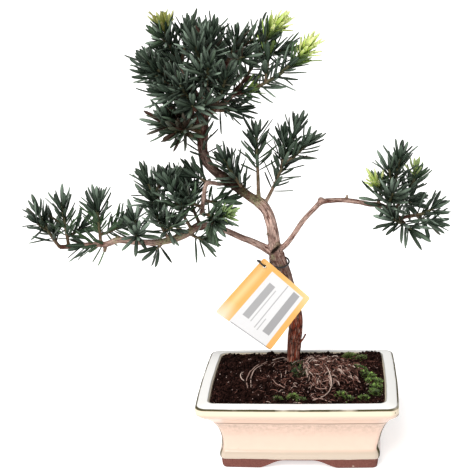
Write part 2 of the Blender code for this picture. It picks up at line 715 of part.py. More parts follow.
def grow_leaves(name, path, start, obstacles, own, whole_leaves, young=0):
    """Leaves round a stem, turned a little or left out where they would cross what is there."""
    made = []
    lengths, widths = (YOUNG_LENGTH, YOUNG_WIDTH) if young else (LEAF_LENGTH, LEAF_WIDTH)
    level = level_of(path[-1] - path[0])
    for i, share, turn, far in leaf_places(name, path, start, young):
        draw = random.Random(f"{name} leaf {i}")
        length, width = draw.uniform(*lengths), draw.uniform(*widths)
        if not young:
            length *= 1.0 - TUFT_SHORTER * max(0.0, far - TUFT_FROM) / (1.0 - TUFT_FROM)
        point, axis = along(path, share)
        for attempt in range(TRIES):
            sway = draw.uniform(-TURN_SWAY, TURN_SWAY) * (attempt > 0)
            angle = math.radians(facet_turn(turn + sway))
            wide = SPREAD[0] + (SPREAD[1] - SPREAD[0]) * far
            spread = math.radians(wide + draw.uniform(-SPREAD_SWAY, SPREAD_SWAY))
            spread *= YOUNG_SPREAD if young else 1.0
            out = Matrix.Rotation(angle, 3, axis) @ level
            ahead = math.cos(spread) * axis + math.sin(spread) * out
            face = math.sin(spread) * axis - math.cos(spread) * out
            bend = draw.uniform(0.0, LEAF_MOST_BEND)
            room = (length * CLEAR_OF_LEAF[0], width * CLEAR_OF_LEAF[1])
            whole = tree_of(leaf(point, ahead, face, *room, bend))
            outer = tree_of(leaf(point + ahead * CLEAR_FROM, ahead, face, *room, bend))
            if touches(whole, obstacles) or touches(outer, own):
                continue
            made.append(leaf(point, ahead, face, length, width, bend))
            own.append(outer)
            whole_leaves.append(whole)
            break
    return made


def stem_tube(path, start):
    kept = cut_path(path, start, 1.0)
    radii = [stem_radius(start + (1.0 - start) * i / (len(kept) - 1)) for i in range(len(kept))]
    return tube(kept, radii, STEM_SIDES)


def tree_of(piece):
    return BVHTree.FromPolygons(*piece)


def touches(tree, others):
    return any(tree.overlap(other) for other in others)


def make_sprays(paths, starts, obstacles):
    """One node for each leafy stem with its side stems, then one for each young shoot."""
    stems = {}
    for name, own_paths in paths.items():
        first = stem_tube(own_paths[0], starts[name] + GAP / 2 / path_length(own_paths[0]))
        stems[name] = [first, *[stem_tube(path, 0.0) for path in own_paths[1:]]]
    young_paths = {name: [paths[spray][0][-1], Vector(tip)] for name, spray, tip, _ in YOUNG_SHOOTS}
    for name, path in young_paths.items():
        foot = path[0].lerp(path[1], YOUNG_GAP / path_length(path))
        stems[name] = [tube([foot, path[1]], [STEM_RADII[1], YOUNG_TIP_RADIUS], STEM_SIDES)]
    solid = {name: [tree_of(piece) for piece in pieces] for name, pieces in stems.items()}
    placed = {name: [] for name in stems}
    claimed = {name: [] for name in stems}
    for name, pieces in stems.items():
        others = obstacles + [t for key, trees in solid.items() if key != name for t in trees]
        others += [t for key, trees in claimed.items() if key != name for t in trees]
        own, whole = placed[name], claimed[name]
        leaves = []
        if name in young_paths:
            count = next(row[3] for row in YOUNG_SHOOTS if row[0] == name)
            leaves = grow_leaves(name, young_paths[name], YOUNG_BARE, others, own, whole, count)
        else:
            for number, path in enumerate(paths[name]):
                start = starts[name] if number == 0 else SIDE_BARE
                leaves += grow_leaves(f"{name} {number}", path, start, others, own, whole)
        finish = "young_leaf" if name in young_paths else "leaf"
        spray = add_object(name, *pieces[0], finish)
        joined = [add_object("piece", *piece) for piece in pieces[1:] + leaves]
        apply_boolean(spray, joined, "UNION", "MANIFOLD")


def mat_point(share, angle):
    """A place on the mat, from its middle at share 0 to its edge at share 1."""
    x = MAT_PLACE[0] + share * MAT_REACH[0] * math.cos(angle) * (1 + MAT_WAVE * math.sin(3 * angle))
    y = MAT_PLACE[1] + share * MAT_REACH[1] * math.sin(angle) * (1 + MAT_WAVE * math.cos(4 * angle))
    return x, y, soil_height(x, y, clods=False) + MAT_GAP


def make_mat():
    """Fine dry roots in a low ridged mat on the mound, to the right of the trunk."""
    top, bottom = [], []
    for step in range(MAT_RINGS):
        share = 1 - step / MAT_RINGS
        for i in range(MAT_SIDES):
            angle = 2 * math.pi * (i + 0.5 * step) / MAT_SIDES
            x, y, base = mat_point(share, angle)
            bottom.append((x, y, base))
            ridge = MAT_RIDGE * (1 if (i + step) % 2 else -1) * (step > 0)
            top.append((x, y, base + MAT_EDGE + MAT_HEIGHT * (1 - share ** 2) + ridge))
    x, y, base = mat_point(0, 0)
    points = [*bottom, *top, (x, y, base), (x, y, base + MAT_EDGE + MAT_HEIGHT)]
    faces = rings_to_faces(MAT_RINGS, MAT_SIDES, closed_ends=False)
    upper = MAT_RINGS * MAT_SIDES
    faces += [tuple(v + upper for v in reversed(face)) for face in faces]
    for i in range(MAT_SIDES):
        j = (i + 1) % MAT_SIDES
        inner = upper - MAT_SIDES
        faces += [(i, j, j + upper, i + upper), (inner + i, inner + j, 2 * upper)]
        faces.append((inner + upper + i, inner + upper + j, 2 * upper + 1))
    mat = add_object("root_mat", points, faces, "root")
    turn_outwards(mat)
    triangulate(mat)
    draw = random.Random("fine roots")
    strands = [add_object("strand", *strand(draw)) for _ in range(MAT_STRANDS)]
    apply_boolean(mat, strands, "UNION", "MANIFOLD")


def strand(draw):
    """A fine root that arches out over the mat, away from the trunk, with both ends sunk in it."""
    heading = math.radians(draw.uniform(-STRAND_HEADING, STRAND_HEADING))
    start = draw.uniform(*STRAND_START)
    reach = draw.uniform(*STRAND_REACH)
    path = []
    for step in range(4):
        u = start + reach * math.cos(heading) * step / 3
        v = draw.uniform(-STRAND_WANDER, STRAND_WANDER) + STRAND_FAN * math.sin(heading) * (0.5 + step / 3)
        x, y = MAT_PLACE[0] + MAT_REACH[0] * u, MAT_PLACE[1] + MAT_REACH[1] * v
        surface = MAT_EDGE + MAT_HEIGHT * (1 - min(u * u + v * v, 0.8))
        lift = -STRAND_SINK if step in (0, 3) else STRAND_RADIUS + STRAND_LIFT
        path.append((x, y, soil_height(x, y, clods=False) + MAT_GAP + surface + lift))
    return tube(path, [STRAND_RADIUS] * 4, 3)


def tag_frame():
    """The tag's own axes: along its long side, along its short side, and out of its face."""
    turn = Matrix.Rotation(math.radians(TAG_TURN), 3, "Z") @ Matrix.Rotation(math.radians(TAG_LEAN), 3, "X")
    tilt = math.radians(TAG_TILT)
    down_left = turn @ Vector((-math.sin(tilt), 0, -math.cos(tilt)))
    down_right = turn @ Vector((math.cos(tilt), 0, -math.sin(tilt)))
    return down_left, down_right, turn @ Vector((0, -1, 0))


def make_tag():
    """A plain card, hung by its top corner."""
    down_left, down_right, out = tag_frame()
    long_side, short_side = TAG_SIZE
    lowest = (long_side, short_side + TAG_FLARE[1])
    corners = [(0, 0), (long_side + TAG_FLARE[0], 0), lowest, (0, short_side)]
    points = []
    for depth in (0.0, TAG_THICK):
        points += [TAG_TOP_CORNER + down_left * u + down_right * v + out * depth for u, v in corners]
    card = add_object("hang_tag", points, rings_to_faces(2, 4), "card")
    turn_outwards(card)
    hole = TAG_TOP_CORNER + (down_left + down_right) * TAG_HOLE_INSET
    ends = [hole - out * CUT_PAST, hole + out * CUT_PAST]
    cutter = add_object("hole", *tube(ends, [TAG_HOLE_RADIUS] * 2, TAG_HOLE_SIDES))
    turn_outwards(cutter)
    apply_boolean(card, [cutter], "DIFFERENCE")
    return hole, down_right, out


def trunk_at(height):
    """The middle of the trunk at a height."""
    path = limb_path("trunk")
    for a, b in zip(path, path[1:]):
        if a.z <= height <= b.z:
            return a.lerp(b, (height - a.z) / (b.z - a.z)).to_3d()
    raise ValueError("no trunk at this height")


def make_tie(hole, down_right, out):
    """A thin black loop through the tag's hole and round the trunk."""
    trunk = trunk_at(TIE_HEIGHT)
    edge = hole - down_right * TAG_HOLE_INSET
    stations = [hole + out * TIE_FRONT, edge + out * TIE_FRONT, edge - down_right * TIE_OVER_EDGE]
    for heading in TIE_HEADINGS:
        angle = math.radians(heading)
        level = Vector((math.cos(angle), math.sin(angle), 0)) * TIE_LOOP_RADIUS
        stations.append(trunk + level + Vector((0, 0, TIE_RISE * math.sin(angle))))
    stations += [hole - out * far for far in TIE_BEHIND]
    ring = smooth_path([*stations, stations[0]], 2)[:-1]
    points = []
    for i, centre in enumerate(ring):
        ahead = (ring[(i + 1) % len(ring)] - ring[i - 1]).normalized()
        across = level_of(ahead)
        up = across.cross(ahead)
        for side in range(TIE_SIDES):
            angle = 2 * math.pi * side / TIE_SIDES
            points.append(centre + TIE_RADIUS * (math.cos(angle) * across + math.sin(angle) * up))
    faces = rings_to_faces(len(ring), TIE_SIDES, closed_ends=False)
    last = (len(ring) - 1) * TIE_SIDES
    faces += [(last + i, last + (i + 1) % TIE_SIDES, (i + 1) % TIE_SIDES, i) for i in range(TIE_SIDES)]
    turn_outwards(add_object("tag_tie", points, faces, "tie"))


def main():
    clear_scene()
    make_pot()
    make_screens()
    paths = spray_paths()
    starts = spray_starts(paths)
    limbs, roots = list(limb_pieces()), list(root_pieces())
    wood = [tube(*piece) for piece in [*limbs, *roots, *twig_pieces(paths, starts)]]
    make_wood(wood)
    under = [grown(*piece, by=ROOT_CLEAR) for piece in [limbs[0], *roots]]
    make_soil([add_object("cutter", *piece) for piece in under])
    make_mat()
    make_tie(*make_tag())
    make_sprays(paths, starts, [tree_of(piece) for piece in wood])


main()
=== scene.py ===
"""Buddhist pine bonsai: bark, leaves, moss, soil, glazed pot and hang tag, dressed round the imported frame.

Places are in millimetres from the middle of the pot on the table: x goes right, y away from the front, z up.
lay() turns them into the frame's metres.
"""

import math
import random

import bmesh
import bpy
import numpy as np
from bpy.props import FloatProperty, FloatVectorProperty, IntProperty, PointerProperty
from mathutils import Euler, Matrix, Vector, noise
from mathutils.kdtree import KDTree


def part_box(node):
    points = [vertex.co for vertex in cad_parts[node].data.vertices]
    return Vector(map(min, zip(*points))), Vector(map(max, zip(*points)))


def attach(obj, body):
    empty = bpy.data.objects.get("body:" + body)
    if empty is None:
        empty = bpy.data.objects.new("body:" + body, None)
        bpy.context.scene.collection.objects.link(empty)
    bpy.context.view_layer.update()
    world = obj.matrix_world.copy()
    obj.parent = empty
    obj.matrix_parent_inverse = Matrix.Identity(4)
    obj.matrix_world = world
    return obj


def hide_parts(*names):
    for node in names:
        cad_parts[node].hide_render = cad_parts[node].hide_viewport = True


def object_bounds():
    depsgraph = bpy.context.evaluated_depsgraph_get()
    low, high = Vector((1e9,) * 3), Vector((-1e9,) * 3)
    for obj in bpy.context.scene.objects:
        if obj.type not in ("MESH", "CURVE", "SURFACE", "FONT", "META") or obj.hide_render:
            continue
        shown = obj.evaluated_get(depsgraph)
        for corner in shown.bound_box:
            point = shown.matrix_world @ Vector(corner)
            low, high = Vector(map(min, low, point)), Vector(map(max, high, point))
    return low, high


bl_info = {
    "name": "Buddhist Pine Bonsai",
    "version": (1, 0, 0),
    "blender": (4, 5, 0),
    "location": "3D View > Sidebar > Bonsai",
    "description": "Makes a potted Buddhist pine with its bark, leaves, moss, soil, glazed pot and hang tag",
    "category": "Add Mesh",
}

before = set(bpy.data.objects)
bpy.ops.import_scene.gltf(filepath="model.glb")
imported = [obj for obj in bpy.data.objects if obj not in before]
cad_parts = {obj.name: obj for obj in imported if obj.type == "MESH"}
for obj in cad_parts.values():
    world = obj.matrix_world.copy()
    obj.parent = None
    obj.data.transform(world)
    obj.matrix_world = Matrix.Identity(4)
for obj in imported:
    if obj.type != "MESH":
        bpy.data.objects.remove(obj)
CAD_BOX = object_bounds()
POT_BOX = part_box("pot")

MM = 0.001
POT_PLACE = np.array(((POT_BOX[0].x + POT_BOX[1].x) / 2 / MM, (POT_BOX[0].y + POT_BOX[1].y) / 2 / MM, 0.0))
UP = Vector((0, 0, 1))
SHARP_ANGLE = math.radians(38.0)

# The pot, with how far in from the rim's edge each height of its wall stands
POT_CORNER = 9.0
CORNER_STEPS = 12
SIDE_STEPS = 22
ARCH_STEPS = 16
POT_BOW = 1.2
RIM_TOP = 65.0
GLAZE_LINE = 9.5
FLOOR_TOP = 17.0
DRAIN_PLACES = (-30, 30)
DRAIN_RADIUS = 6.5
POT_OUTSIDE = (
    (0, 20.1), (0.9, 18.5), (8.6, 17.9), (GLAZE_LINE, 16.9), (12.5, 16.5), (15.5, 17.2), (18, 18.8),
    (25, 18.2), (34, 16.6), (42, 13.4), (48, 9.2), (52, 4.8), (54.6, 1.4), (56.6, 0),
    (62.2, 0), (63.6, 1.2), (RIM_TOP, 9.6),
)
# How far the hand-made wall leans to the right at some heights
POT_LEAN = ((0, 0.7), (18, 1), (28, 2.3), (38, 2.6), (46, 2.1), (52, 1.2), (58, 0))
POT_INSIDE = ((FLOOR_TOP, 28), (34, 24.8), (44, 21.2), (50, 16.8), (58, 12.6), (64, 11.2))
FRONT_ARCH = (38, 12)
SIDE_ARCH = (26, 9)
ARCH_TOP = 8.4
HOLLOW_INSET = (33, 34.5)
# The shapes that cut its underside start a little under the table
BELOW = -2.0
# Where the glaze wears on a corner, in degrees from the end wall, and how far round that reaches
WORN_ANGLE = 14.0
WORN_REACH = 42.0
GLAZE_FLAWS = ((82, -64, 59.9), (63, -65, 56.4), (60.5, -65, 56.9), (-71, -65, 58))

# The soil
SOIL_LEVEL = 62.2
REAR_RISE = 1.2
REAR_FROM = 10.0
REAR_REACH = 42.0
MOUND_HEIGHT = 10.2
MOUND_PLACE = (2, 15)
MOUND_REACH = (42, 27)
HEAP_HEIGHT = 4.0
HEAP_PLACE = (64, 44)
HEAP_REACH = 14.0
CLOD_HEIGHT = 1.5
CLOD_SIZE = 7.0
# The crumbs of its surface: height, how many swells to a millimetre, and seed
CRUMBLING = ((1.1, 0.27, 11), (0.75, 0.62, 23), (0.45, 1.3, 31))
# The grid of its top, heights of the rings down its sides, and how far out loose bits lie: in x, in y and
# towards a corner
SOIL_GRID = (168, 128)
SOIL_RINGS = (58, 50, 44, 34, FLOOR_TOP + 1.6)
INSIDE_POT = (72.8, 53.8, 121.5)
CRUMB_REACH = (74, 55)

# The mat of fine roots
MAT_PLACE = (30, 6)
MAT_REACH = (29, 24)
MAT_HEIGHT = 3.0
MAT_EDGE = 0.8
MAT_GAP = 0.85
# Where loose roots and pale bits lie thickest, round the foot of the trunk
LITTER_PLACE = (12, -6)
LITTER_REACH = (40, 36)

# Moss: the faces of a leaflet's six points, how many leaflets a cushion has for the square of its reach, and
# each cushion's place, reach, height, how bright and how yellow it is
LEAFLET_FACES = ((0, 5, 1), (0, 2, 5), (3, 1, 5), (3, 5, 2), (0, 1, 4), (0, 4, 2), (3, 4, 1), (3, 2, 4))
MOSS_DENSITY = 7.5
MOSS = (
    ((55, 13), 6.5, 2.2, 0.75, 0.1), ((61, 3), 7, 2.8, 0.95, 0.15), ((66, -9), 7.5, 3.2, 1, 0.2),
    ((69, -20), 7, 2.6, 0.85, 0.15), ((66, -31), 6, 1.8, 0.6, 0.1), ((38, -35), 5.5, 2, 0.85, 0.3),
    ((44, -42), 4.5, 1.6, 0.7, 0.4), ((-4, -40), 4.8, 1.8, 0.7, 0.35), ((4, -45), 4, 1.4, 0.6, 0.3),
    ((1, -2), 7, 2.2, 0.25, 0), ((-2, 9), 6, 1.8, 0.2, 0), ((-16, -43), 3.6, 1.2, 0.5, 0.3),
    ((46, 45), 7.5, 2, 0.55, 0.7), ((57, -42), 5, 1.6, 0.8, 0.25), ((56, 38), 4.5, 1.4, 0.5, 0.5),
)

# Bare roots that arch over the soil, and the loose ones
ROOT_ARCHES = (
    ((-43, -24), (-46, -6), (-43, 9), (-36, 22), (-27, 29)), ((-41, -20), (-42, -3), (-38, 13), (-30, 24)),
    ((-30, 29), (-22, 27), (-15, 31), (-8, 23)),
    ((18, 12), (24, 3), (29, -13), (28, -29), (21, -41), (13, -45)),
    ((-20, 22), (-12, 20), (-5, 14), (-2, 6)), ((8, -8), (15, -22), (24, -26), (33, -22)),
    ((-47, -10), (-52, 0), (-50, 12)), ((-24, -6), (-18, -18), (-8, -24)),
    ((10, -38), (20, -46), (30, -47)),
)
LOOSE_ROOTS = 360
LOOSE_TONES = (0.25, 0.4, 0.5, 0.6, 0.7, 0.9)
STRAND_SIDES = 5
STRAND_REACH = (73, 54)

# The wood: stations along each limb, as x, y, z and radius
TRUNK = (
    (-6, 20, 40, 4.5), (-6, 20, 58, 5.6), (-5.2, 20, 75, 5.8), (-3.9, 20, 92, 6.3), (-1.9, 18, 110, 6.5),
    (-4.3, 14, 132, 6.2), (-9, 8, 153, 6.3), (-14, 4, 171, 6.7), (-17, 2, 184, 5.6), (-18, 0, 199, 4.7),
    (-21, -2, 214, 4.7), (-26, -4, 224, 4.7), (-34, -4, 230, 4), (-47, -2, 239, 3.8), (-56, 0, 246, 4.2),
    (-66, 3, 253, 4), (-73, 5, 261, 4.3), (-76, 7, 271, 4.1), (-76, 8, 283, 5.1), (-75, 8, 296, 5.5),
    (-72, 7, 313, 4), (-70, 5, 327, 3.2), (-67, 4, 345, 2.4),
)
LEFT_LIMB = (
    (-15, 3, 176, 4.2), (-29, 0, 187, 3.3), (-47, -4, 196.5, 2.8), (-61, -7, 204, 2.7), (-79, -9, 208, 3.5),
    (-94, -10, 200, 3.2), (-113, -12, 195, 2.9), (-133, -14, 196, 2.8), (-149, -17, 199, 2.9),
    (-160, -19, 196, 2.6), (-172, -20, 196, 2.3), (-190, -21, 195, 2.1), (-200, -22, 195, 2),
)
RIGHT_LIMB = (
    (-17, 2, 180, 3), (-8, 2, 186.5, 2.5), (0, 4, 196, 2.3), (8, 6, 207, 2.2), (17, 8, 216, 2.2),
    (24, 9, 222, 2.4), (34, 10, 223.2, 2.2), (45, 10, 223, 2.3), (56, 10, 221.2, 2.2), (65, 9, 219.4, 2.2),
    (73, 8, 219, 2.2), (82, 7, 215, 1.9), (88, 6, 208, 1.8), (99, 3, 210, 1.6),
)
BENT_LIMB = (
    (-54, -1, 244, 2.2), (-61, -8, 244, 1.8), (-66, -12, 246, 1.8), (-71, -14, 246, 1.9),
    (-73, -15, 241, 1.9), (-75, -16, 230, 1.8), (-76, -16, 221, 1.7),
)
CROWN_LEFT = ((-76, 8, 292, 3.2), (-86, -2, 309, 2.4), (-91, -8, 325, 2.0), (-95, -12, 335, 1.6))
CROWN_BACK = ((-73, 8, 306, 3.0), (-85, 16, 326, 2.4), (-93, 22, 341, 2.0), (-97, 22, 350, 1.6))
CROWN_RIGHT = ((-75, 8, 298, 3.2), (-60, 0, 308, 2.4), (-48, -2, 317, 2.0), (-35, -7, 322, 1.6))
CROWN_TOP = ((-70, 5, 326, 2.8), (-57, 8, 335, 2.2), (-51, 10, 345, 1.9), (-40, 12, 356, 1.5))
SNAG = ((-1, 17, 88, 1.3), (4, 13, 95, 1.0), (7, 11, 101, 0.8))
LIMBS = {
    "trunk": TRUNK, "left": LEFT_LIMB, "right": RIGHT_LIMB, "bent": BENT_LIMB, "crown_left": CROWN_LEFT,
    "crown_back": CROWN_BACK, "crown_right": CROWN_RIGHT, "crown_top": CROWN_TOP, "snag": SNAG,
}
# How many sides the tubes of the wood have, and how far apart its samples lie
LIMB_SIDES = 20
SAMPLE_STEP = 1.2
# Knuckles where limbs part or were once cut: place and radius
KNUCKLES = (
    ((-15.5, 3, 176), 7.1), ((-28, -4, 226), 4.9), ((-79, -9, 208), 4.1), ((-75, 6, 266), 4.9),
    ((-20, 1.5, 183), 4.6), ((23.5, 9, 223.5), 3.1), ((-54, -1, 245), 5), ((-76, -16, 221.5), 2.7),
    ((-133, -14, 196.5), 3.4), ((-76.5, 8, 297), 6.8), ((73, 8, 218.5), 2.8), ((88, 6, 208.5), 2.4),
    ((-76, 8, 290), 6.2), ((-76, 8, 283), 5.6),
)
# Short stubs of old cuts: foot, tip, radius
STUBS = (
    ((-160, -19, 196), (-162, -19, 189), 1.9), ((-30, -5, 228), (-33, -10, 233), 1.6),
    ((-172, -20, 196), (-174, -21, 200), 1.5), ((-16, 2, 186), (-14, -5, 190), 1.8),
    ((-18, 0, 196), (-23.5, -3, 198), 1.4), ((45, 10, 224), (46, 9, 228), 1.3),
    ((-149, -17, 199), (-150, -18, 203), 1.5), ((-3, 20, 96), (-8.5, 17, 98), 1.4),
    ((-66, 3, 253), (-63, 1, 258), 1.5),
)
# Places on the bark and how pale and pink it is there, from 0 to 1
BARK_TONES = (
    ((-6, 20, 64), 0.5), ((-4, 20, 84), 0.34), ((-1, 18, 112), 0.16), ((-3, 14, 132), 0.26),
    ((-10, 7, 158), 0.4), ((-15, 3, 174), 0.3), ((-17, 1, 192), 0.8), ((-20, -1, 207), 0.95),
    ((-24, -3, 220), 0.75), ((-36, -4, 231), 0.15), ((-52, -1, 243), 0.2), ((-66, 3, 253), 0.5),
    ((-74, 6, 264), 0.62), ((-77, 8, 281), 0.16), ((-76, 8, 297), 0.08), ((-71, 6, 325), 0.1),
    ((-30, 0, 189), 0.62), ((-50, -4, 198), 0.58), ((-79, -9, 207), 0.28), ((-100, -11, 198), 0.48),
    ((-125, -13, 196), 0.55), ((-150, -17, 199), 0.46), ((-175, -20, 196), 0.3), ((-200, -22, 195), 0.15),
    ((-6, 3, 191), 0.7), ((12, 7, 212), 0.8), ((28, 9, 224), 0.45), ((50, 10, 223), 0.3),
    ((70, 9, 220), 0.45), ((90, 5, 209), 0.35), ((-74, -15, 236), 0.95), ((-76, -16, 222), 0.45),
)
# Heights between which the pink bark turns red, downwards
RED_BARK = (165, 125)
# Painted shade on the bark among the leaves: place, reach and how dark
SHADED_BARK = (
    ((-36, -4, 232), 6, 0.4), ((-45, -3, 238), 9, 0.8), ((-55, 0, 245), 9, 0.86), ((-64, 2, 251), 8, 0.75),
    ((-71, 5, 261), 7, 0.45), ((-10, 8, 156), 9, 0.35),
)
# Lichen: place on the bark and reach
LICHEN = (
    ((-31, -6, 230), 8.5), ((-41, -5, 236), 6), ((-20, -3, 177), 4), ((-99, -12, 203), 9),
    ((-111, -14, 198), 10), ((-88, -12, 205), 5), ((-55, 0, 249), 5), ((-13, -2, 168), 3),
    ((-152, -18, 200), 5),
)

# Sprays: name, limb, how far along it, tip of the stem, share of the stem with no leaves
SPRAYS = (
    ("crown_low_left", "trunk", 0.82, (-97, -8, 301), 0.2),
    ("crown_left_low", "crown_left", 0.39, (-101, -16, 325), 0.32),
    ("crown_left_mid", "crown_left", 0.77, (-109, -18, 340), 0.32),
    ("crown_left_tip", "crown_left", 1, (-112, -20, 349), 0.1),
    ("crown_left_back", "crown_back", 0.44, (-110, 32, 345), 0.32),
    ("crown_back_tip", "crown_back", 1, (-103, 14, 369), 0.1),
    ("crown_peak_left", "crown_back", 0.83, (-84, 16, 369), 0.15),
    ("crown_peak", "trunk", 1, (-64, -4, 365), 0.1),
    ("crown_peak_back", "trunk", 0.97, (-79, 35, 364), 0.25),
    ("crown_peak_right", "crown_top", 0.62, (-42, 2, 363), 0.15),
    ("crown_top_tip", "crown_top", 1, (-24, 24, 366), 0.1),
    ("crown_long_upper", "crown_right", 0.7, (-15, -2, 367), 0.1),
    ("crown_long_lower", "crown_right", 1, (8, -18, 348), 0.05),
    ("crown_right_low", "crown_right", 0.3, (-45, 18, 304), 0.2),
    ("crown_front_high", "trunk", 0.96, (-73, -20, 359), 0.25),
    ("crown_front_mid", "trunk", 0.92, (-63, -28, 345), 0.25),
    ("crown_front_left", "trunk", 0.88, (-86, -28, 330), 0.25),
    ("crown_front_right", "crown_right", 0.24, (-49, -24, 337), 0.2),
    ("crown_rear", "trunk", 0.9, (-68, 42, 331), 0.25),
    ("crown_rear_right", "crown_top", 0.2, (-57, 46, 340), 0.2),
    ("bend_front", "trunk", 0.6, (-55, -11, 264), 0.3),
    ("bend_rear", "trunk", 0.59, (-55, 24, 252), 0.3),
    ("mid_upright", "trunk", 0.575, (-29, 0, 283), 0.42),
    ("mid_leaning", "trunk", 0.56, (4, 12, 286), 0.17),
    ("bent_end", "bent", 1, (-60, -27, 222), 0.1),
    ("bent_left", "bent", 0.89, (-86, -24, 235), 0.15),
    ("bent_right", "bent", 0.75, (-60, 4, 226), 0.2),
    ("bent_top", "bent", 0.38, (-83, -3, 252), 0.2),
    ("left_pad_outer", "left", 0.45, (-121, -20, 251), 0.3),
    ("left_pad_front", "left", 0.41, (-102, -30, 254), 0.12),
    ("left_pad_rear", "left", 0.37, (-95, 10, 245), 0.15),
    ("left_pad_low", "left", 0.52, (-113, -26, 222), 0.2),
    ("left_mid", "left", 0.65, (-134, -18, 215), 0.15),
    ("left_tall", "left", 0.82, (-165, -20, 232), 0.12),
    ("left_upright", "left", 0.96, (-194, -24, 232), 0.15),
    ("left_end", "left", 1, (-213, -28, 225), 0.1),
    ("under_right", "left", 0.43, (-77, -16, 198), 0.25),
    ("under_left", "left", 0.55, (-119, -8, 188), 0.3),
    ("right_upright", "right", 0.84, (90, -2, 262), 0.1),
    ("right_behind", "right", 0.87, (104, 20, 239), 0.15),
    ("right_first", "right", 0.77, (74, -2, 235), 0.15),
    ("right_front", "right", 0.82, (83, -18, 234), 0.15),
    ("right_outer", "right", 1, (117, -4, 218), 0.1),
    ("right_under", "right", 0.93, (98, -8, 202), 0.2),
)
# How far from a limb's middle its leafy stems start, and from a limb's end
LIMB_CLEAR = {
    "trunk": 7.4, "left": 5.4, "right": 4.4, "bent": 3.8, "crown_left": 5, "crown_back": 5,
    "crown_right": 5, "crown_top": 4.6,
}
END_CLEAR = 2.5
MOST_BARE = 0.6
# Side stems: spray, how far along its stem, tip
SIDE_STEMS = (
    ("crown_low_left", 0.4, (-99, 14, 293)), ("crown_low_left", 0.5, (-105, -16, 298)),
    ("crown_low_left", 0.42, (-93, -23, 292)), ("crown_front_left", 0.42, (-77, -30, 314)),
    ("crown_left_back", 0.5, (-101, 46, 329)), ("crown_peak_back", 0.4, (-63, 40, 354)),
    ("crown_peak_right", 0.25, (-36, -12, 350)), ("crown_long_upper", 0.7, (-3, 2, 353)),
    ("crown_long_lower", 0.35, (-16, -6, 350)), ("bent_end", 0.35, (-65, -33, 217)),
    ("left_pad_low", 0.4, (-100, -28, 213)), ("left_mid", 0.42, (-131, -30, 206)),
    ("left_tall", 0.25, (-153, -6, 207)), ("left_upright", 0.25, (-184, -6, 208)),
    ("left_end", 0.2, (-206, -14, 211)), ("right_upright", 0.4, (81, -5, 251)),
    ("right_under", 0.45, (84, -12, 212)), ("right_outer", 0.25, (119, 16, 201)),
    ("right_behind", 0.35, (103, 36, 215)), ("mid_leaning", 0.5, (-7, 14, 276)),
    ("mid_leaning", 0.55, (14, 10, 275)),
)
# Young pale shoots at a spray's tip: name, spray, tip, number of leaves, how green and how ripe they are
YOUNG_SHOOTS = (
    ("young_crown_left", "crown_back_tip", (-104, 12, 376), 24, 0.25, 0.75),
    ("young_crown_peak", "crown_long_upper", (-9, -3, 373), 26, 0, 0),
    ("young_crown_right", "crown_long_lower", (14, -20, 355), 32, 0, 0),
    ("young_right_first", "right_first", (71, -5, 240), 16, 0.1, 0),
    ("young_right_behind", "right_behind", (104, 20, 244), 9, 0.7, 0.2),
    ("young_bent_end", "bent_end", (-54, -31, 224), 14, 0.85, 0),
)
# Where leaves have withered inside the crown: place and reach
WITHERED = (((-70, 2, 352), 8), ((-46, -2, 330), 8), ((-52, 4, 318), 7), ((-92, -12, 289), 25))
# Limbs that bear leaves themselves: the spray whose piece they join, the limb, from and to where along it
LEAFY_LIMBS = (
    ("crown_long_lower", "crown_right", 0.34, 1), ("crown_left_tip", "crown_left", 0.55, 1),
    ("crown_top_tip", "crown_top", 0.75, 1), ("crown_back_tip", "crown_back", 0.6, 1),
    ("crown_peak", "trunk", 0.93, 1), ("crown_low_left", "trunk", 0.755, 0.83),
    ("left_tall", "left", 0.79, 0.9),
)
# Where a spray's leaves are fresher and greener: spray, from and to which share of the stem, how fresh
FRESH = (
    ("left_tall", 0, 0.45, 0.75), ("left_upright", 0, 0.4, 0.55), ("bent_end", 0, 0.7, 0.3),
    ("bent_right", 0, 0.8, 0.55), ("bent_left", 0, 0.4, 0.4), ("crown_low_left", 0.1, 0.5, 0.35),
    ("crown_long_lower", 0.72, 0.88, 0.8), ("crown_long_lower", 0.86, 1, 1.3),
    ("crown_long_upper", 0.8, 1, 1), ("crown_back_tip", 0.6, 1, 0.5), ("right_first", 0.7, 1, 0.5),
    ("right_behind", 0.75, 1, 0.45), ("left_pad_front", 0, 0.35, 0.35),
    ("crown_top_tip", 0, 0.5, 0.3), ("mid_upright", 0, 0.4, 0.3), ("under_right", 0, 1, 0.2),
)

# Leaves: the turn from one to the next, their angle off the stem at its foot and its tip, their widths at
# shares of the length, and the section across with its heights
TURN = 137.5
SPREAD = (57, 20)
LEAF_OUTLINE = (
    (0, 0.17), (0.06, 0.22), (0.17, 0.56), (0.32, 0.85), (0.52, 1), (0.72, 0.97), (0.87, 0.74),
    (0.96, 0.4), (1, 0.07),
)
SECTION_ACROSS = (1, 0.5, 0, -0.5, -1, -0.5, 0, 0.5)
SECTION_HEIGHT = (-0.5, 0.1, 0.75, 0.1, -0.5, -0.6, -0.62, -0.6)
SECTION_UNDER = (0.5, 0, 0, 0, 0.5, 1, 1, 1)
LEAF_THICK = 0.5
YOUNG_LENGTH = (12.5, 20.5)
YOUNG_WIDTH = (2.5, 3.5)
LINE_SHARES = (0.3, 0.55, 0.8, 1)
STEM_RADII = (1.5, 1.05)
STEM_SIDES = 8
STEM_SAG = 0.13
STEM_POINT_STEP = 2.0
BUD = (0.9, 2.2)
# Room for a leaf: how many ways it tries, how much is enough, the least, how far off it looks, and its gaps
# to the bark and to the edge of the part's box
TRIES = 6
ENOUGH_ROOM = 1.9
LEAST_ROOM = 0.45
REACH = 28.0
BARK_CLEAR = 0.4
BOX_CLEAR = 0.6
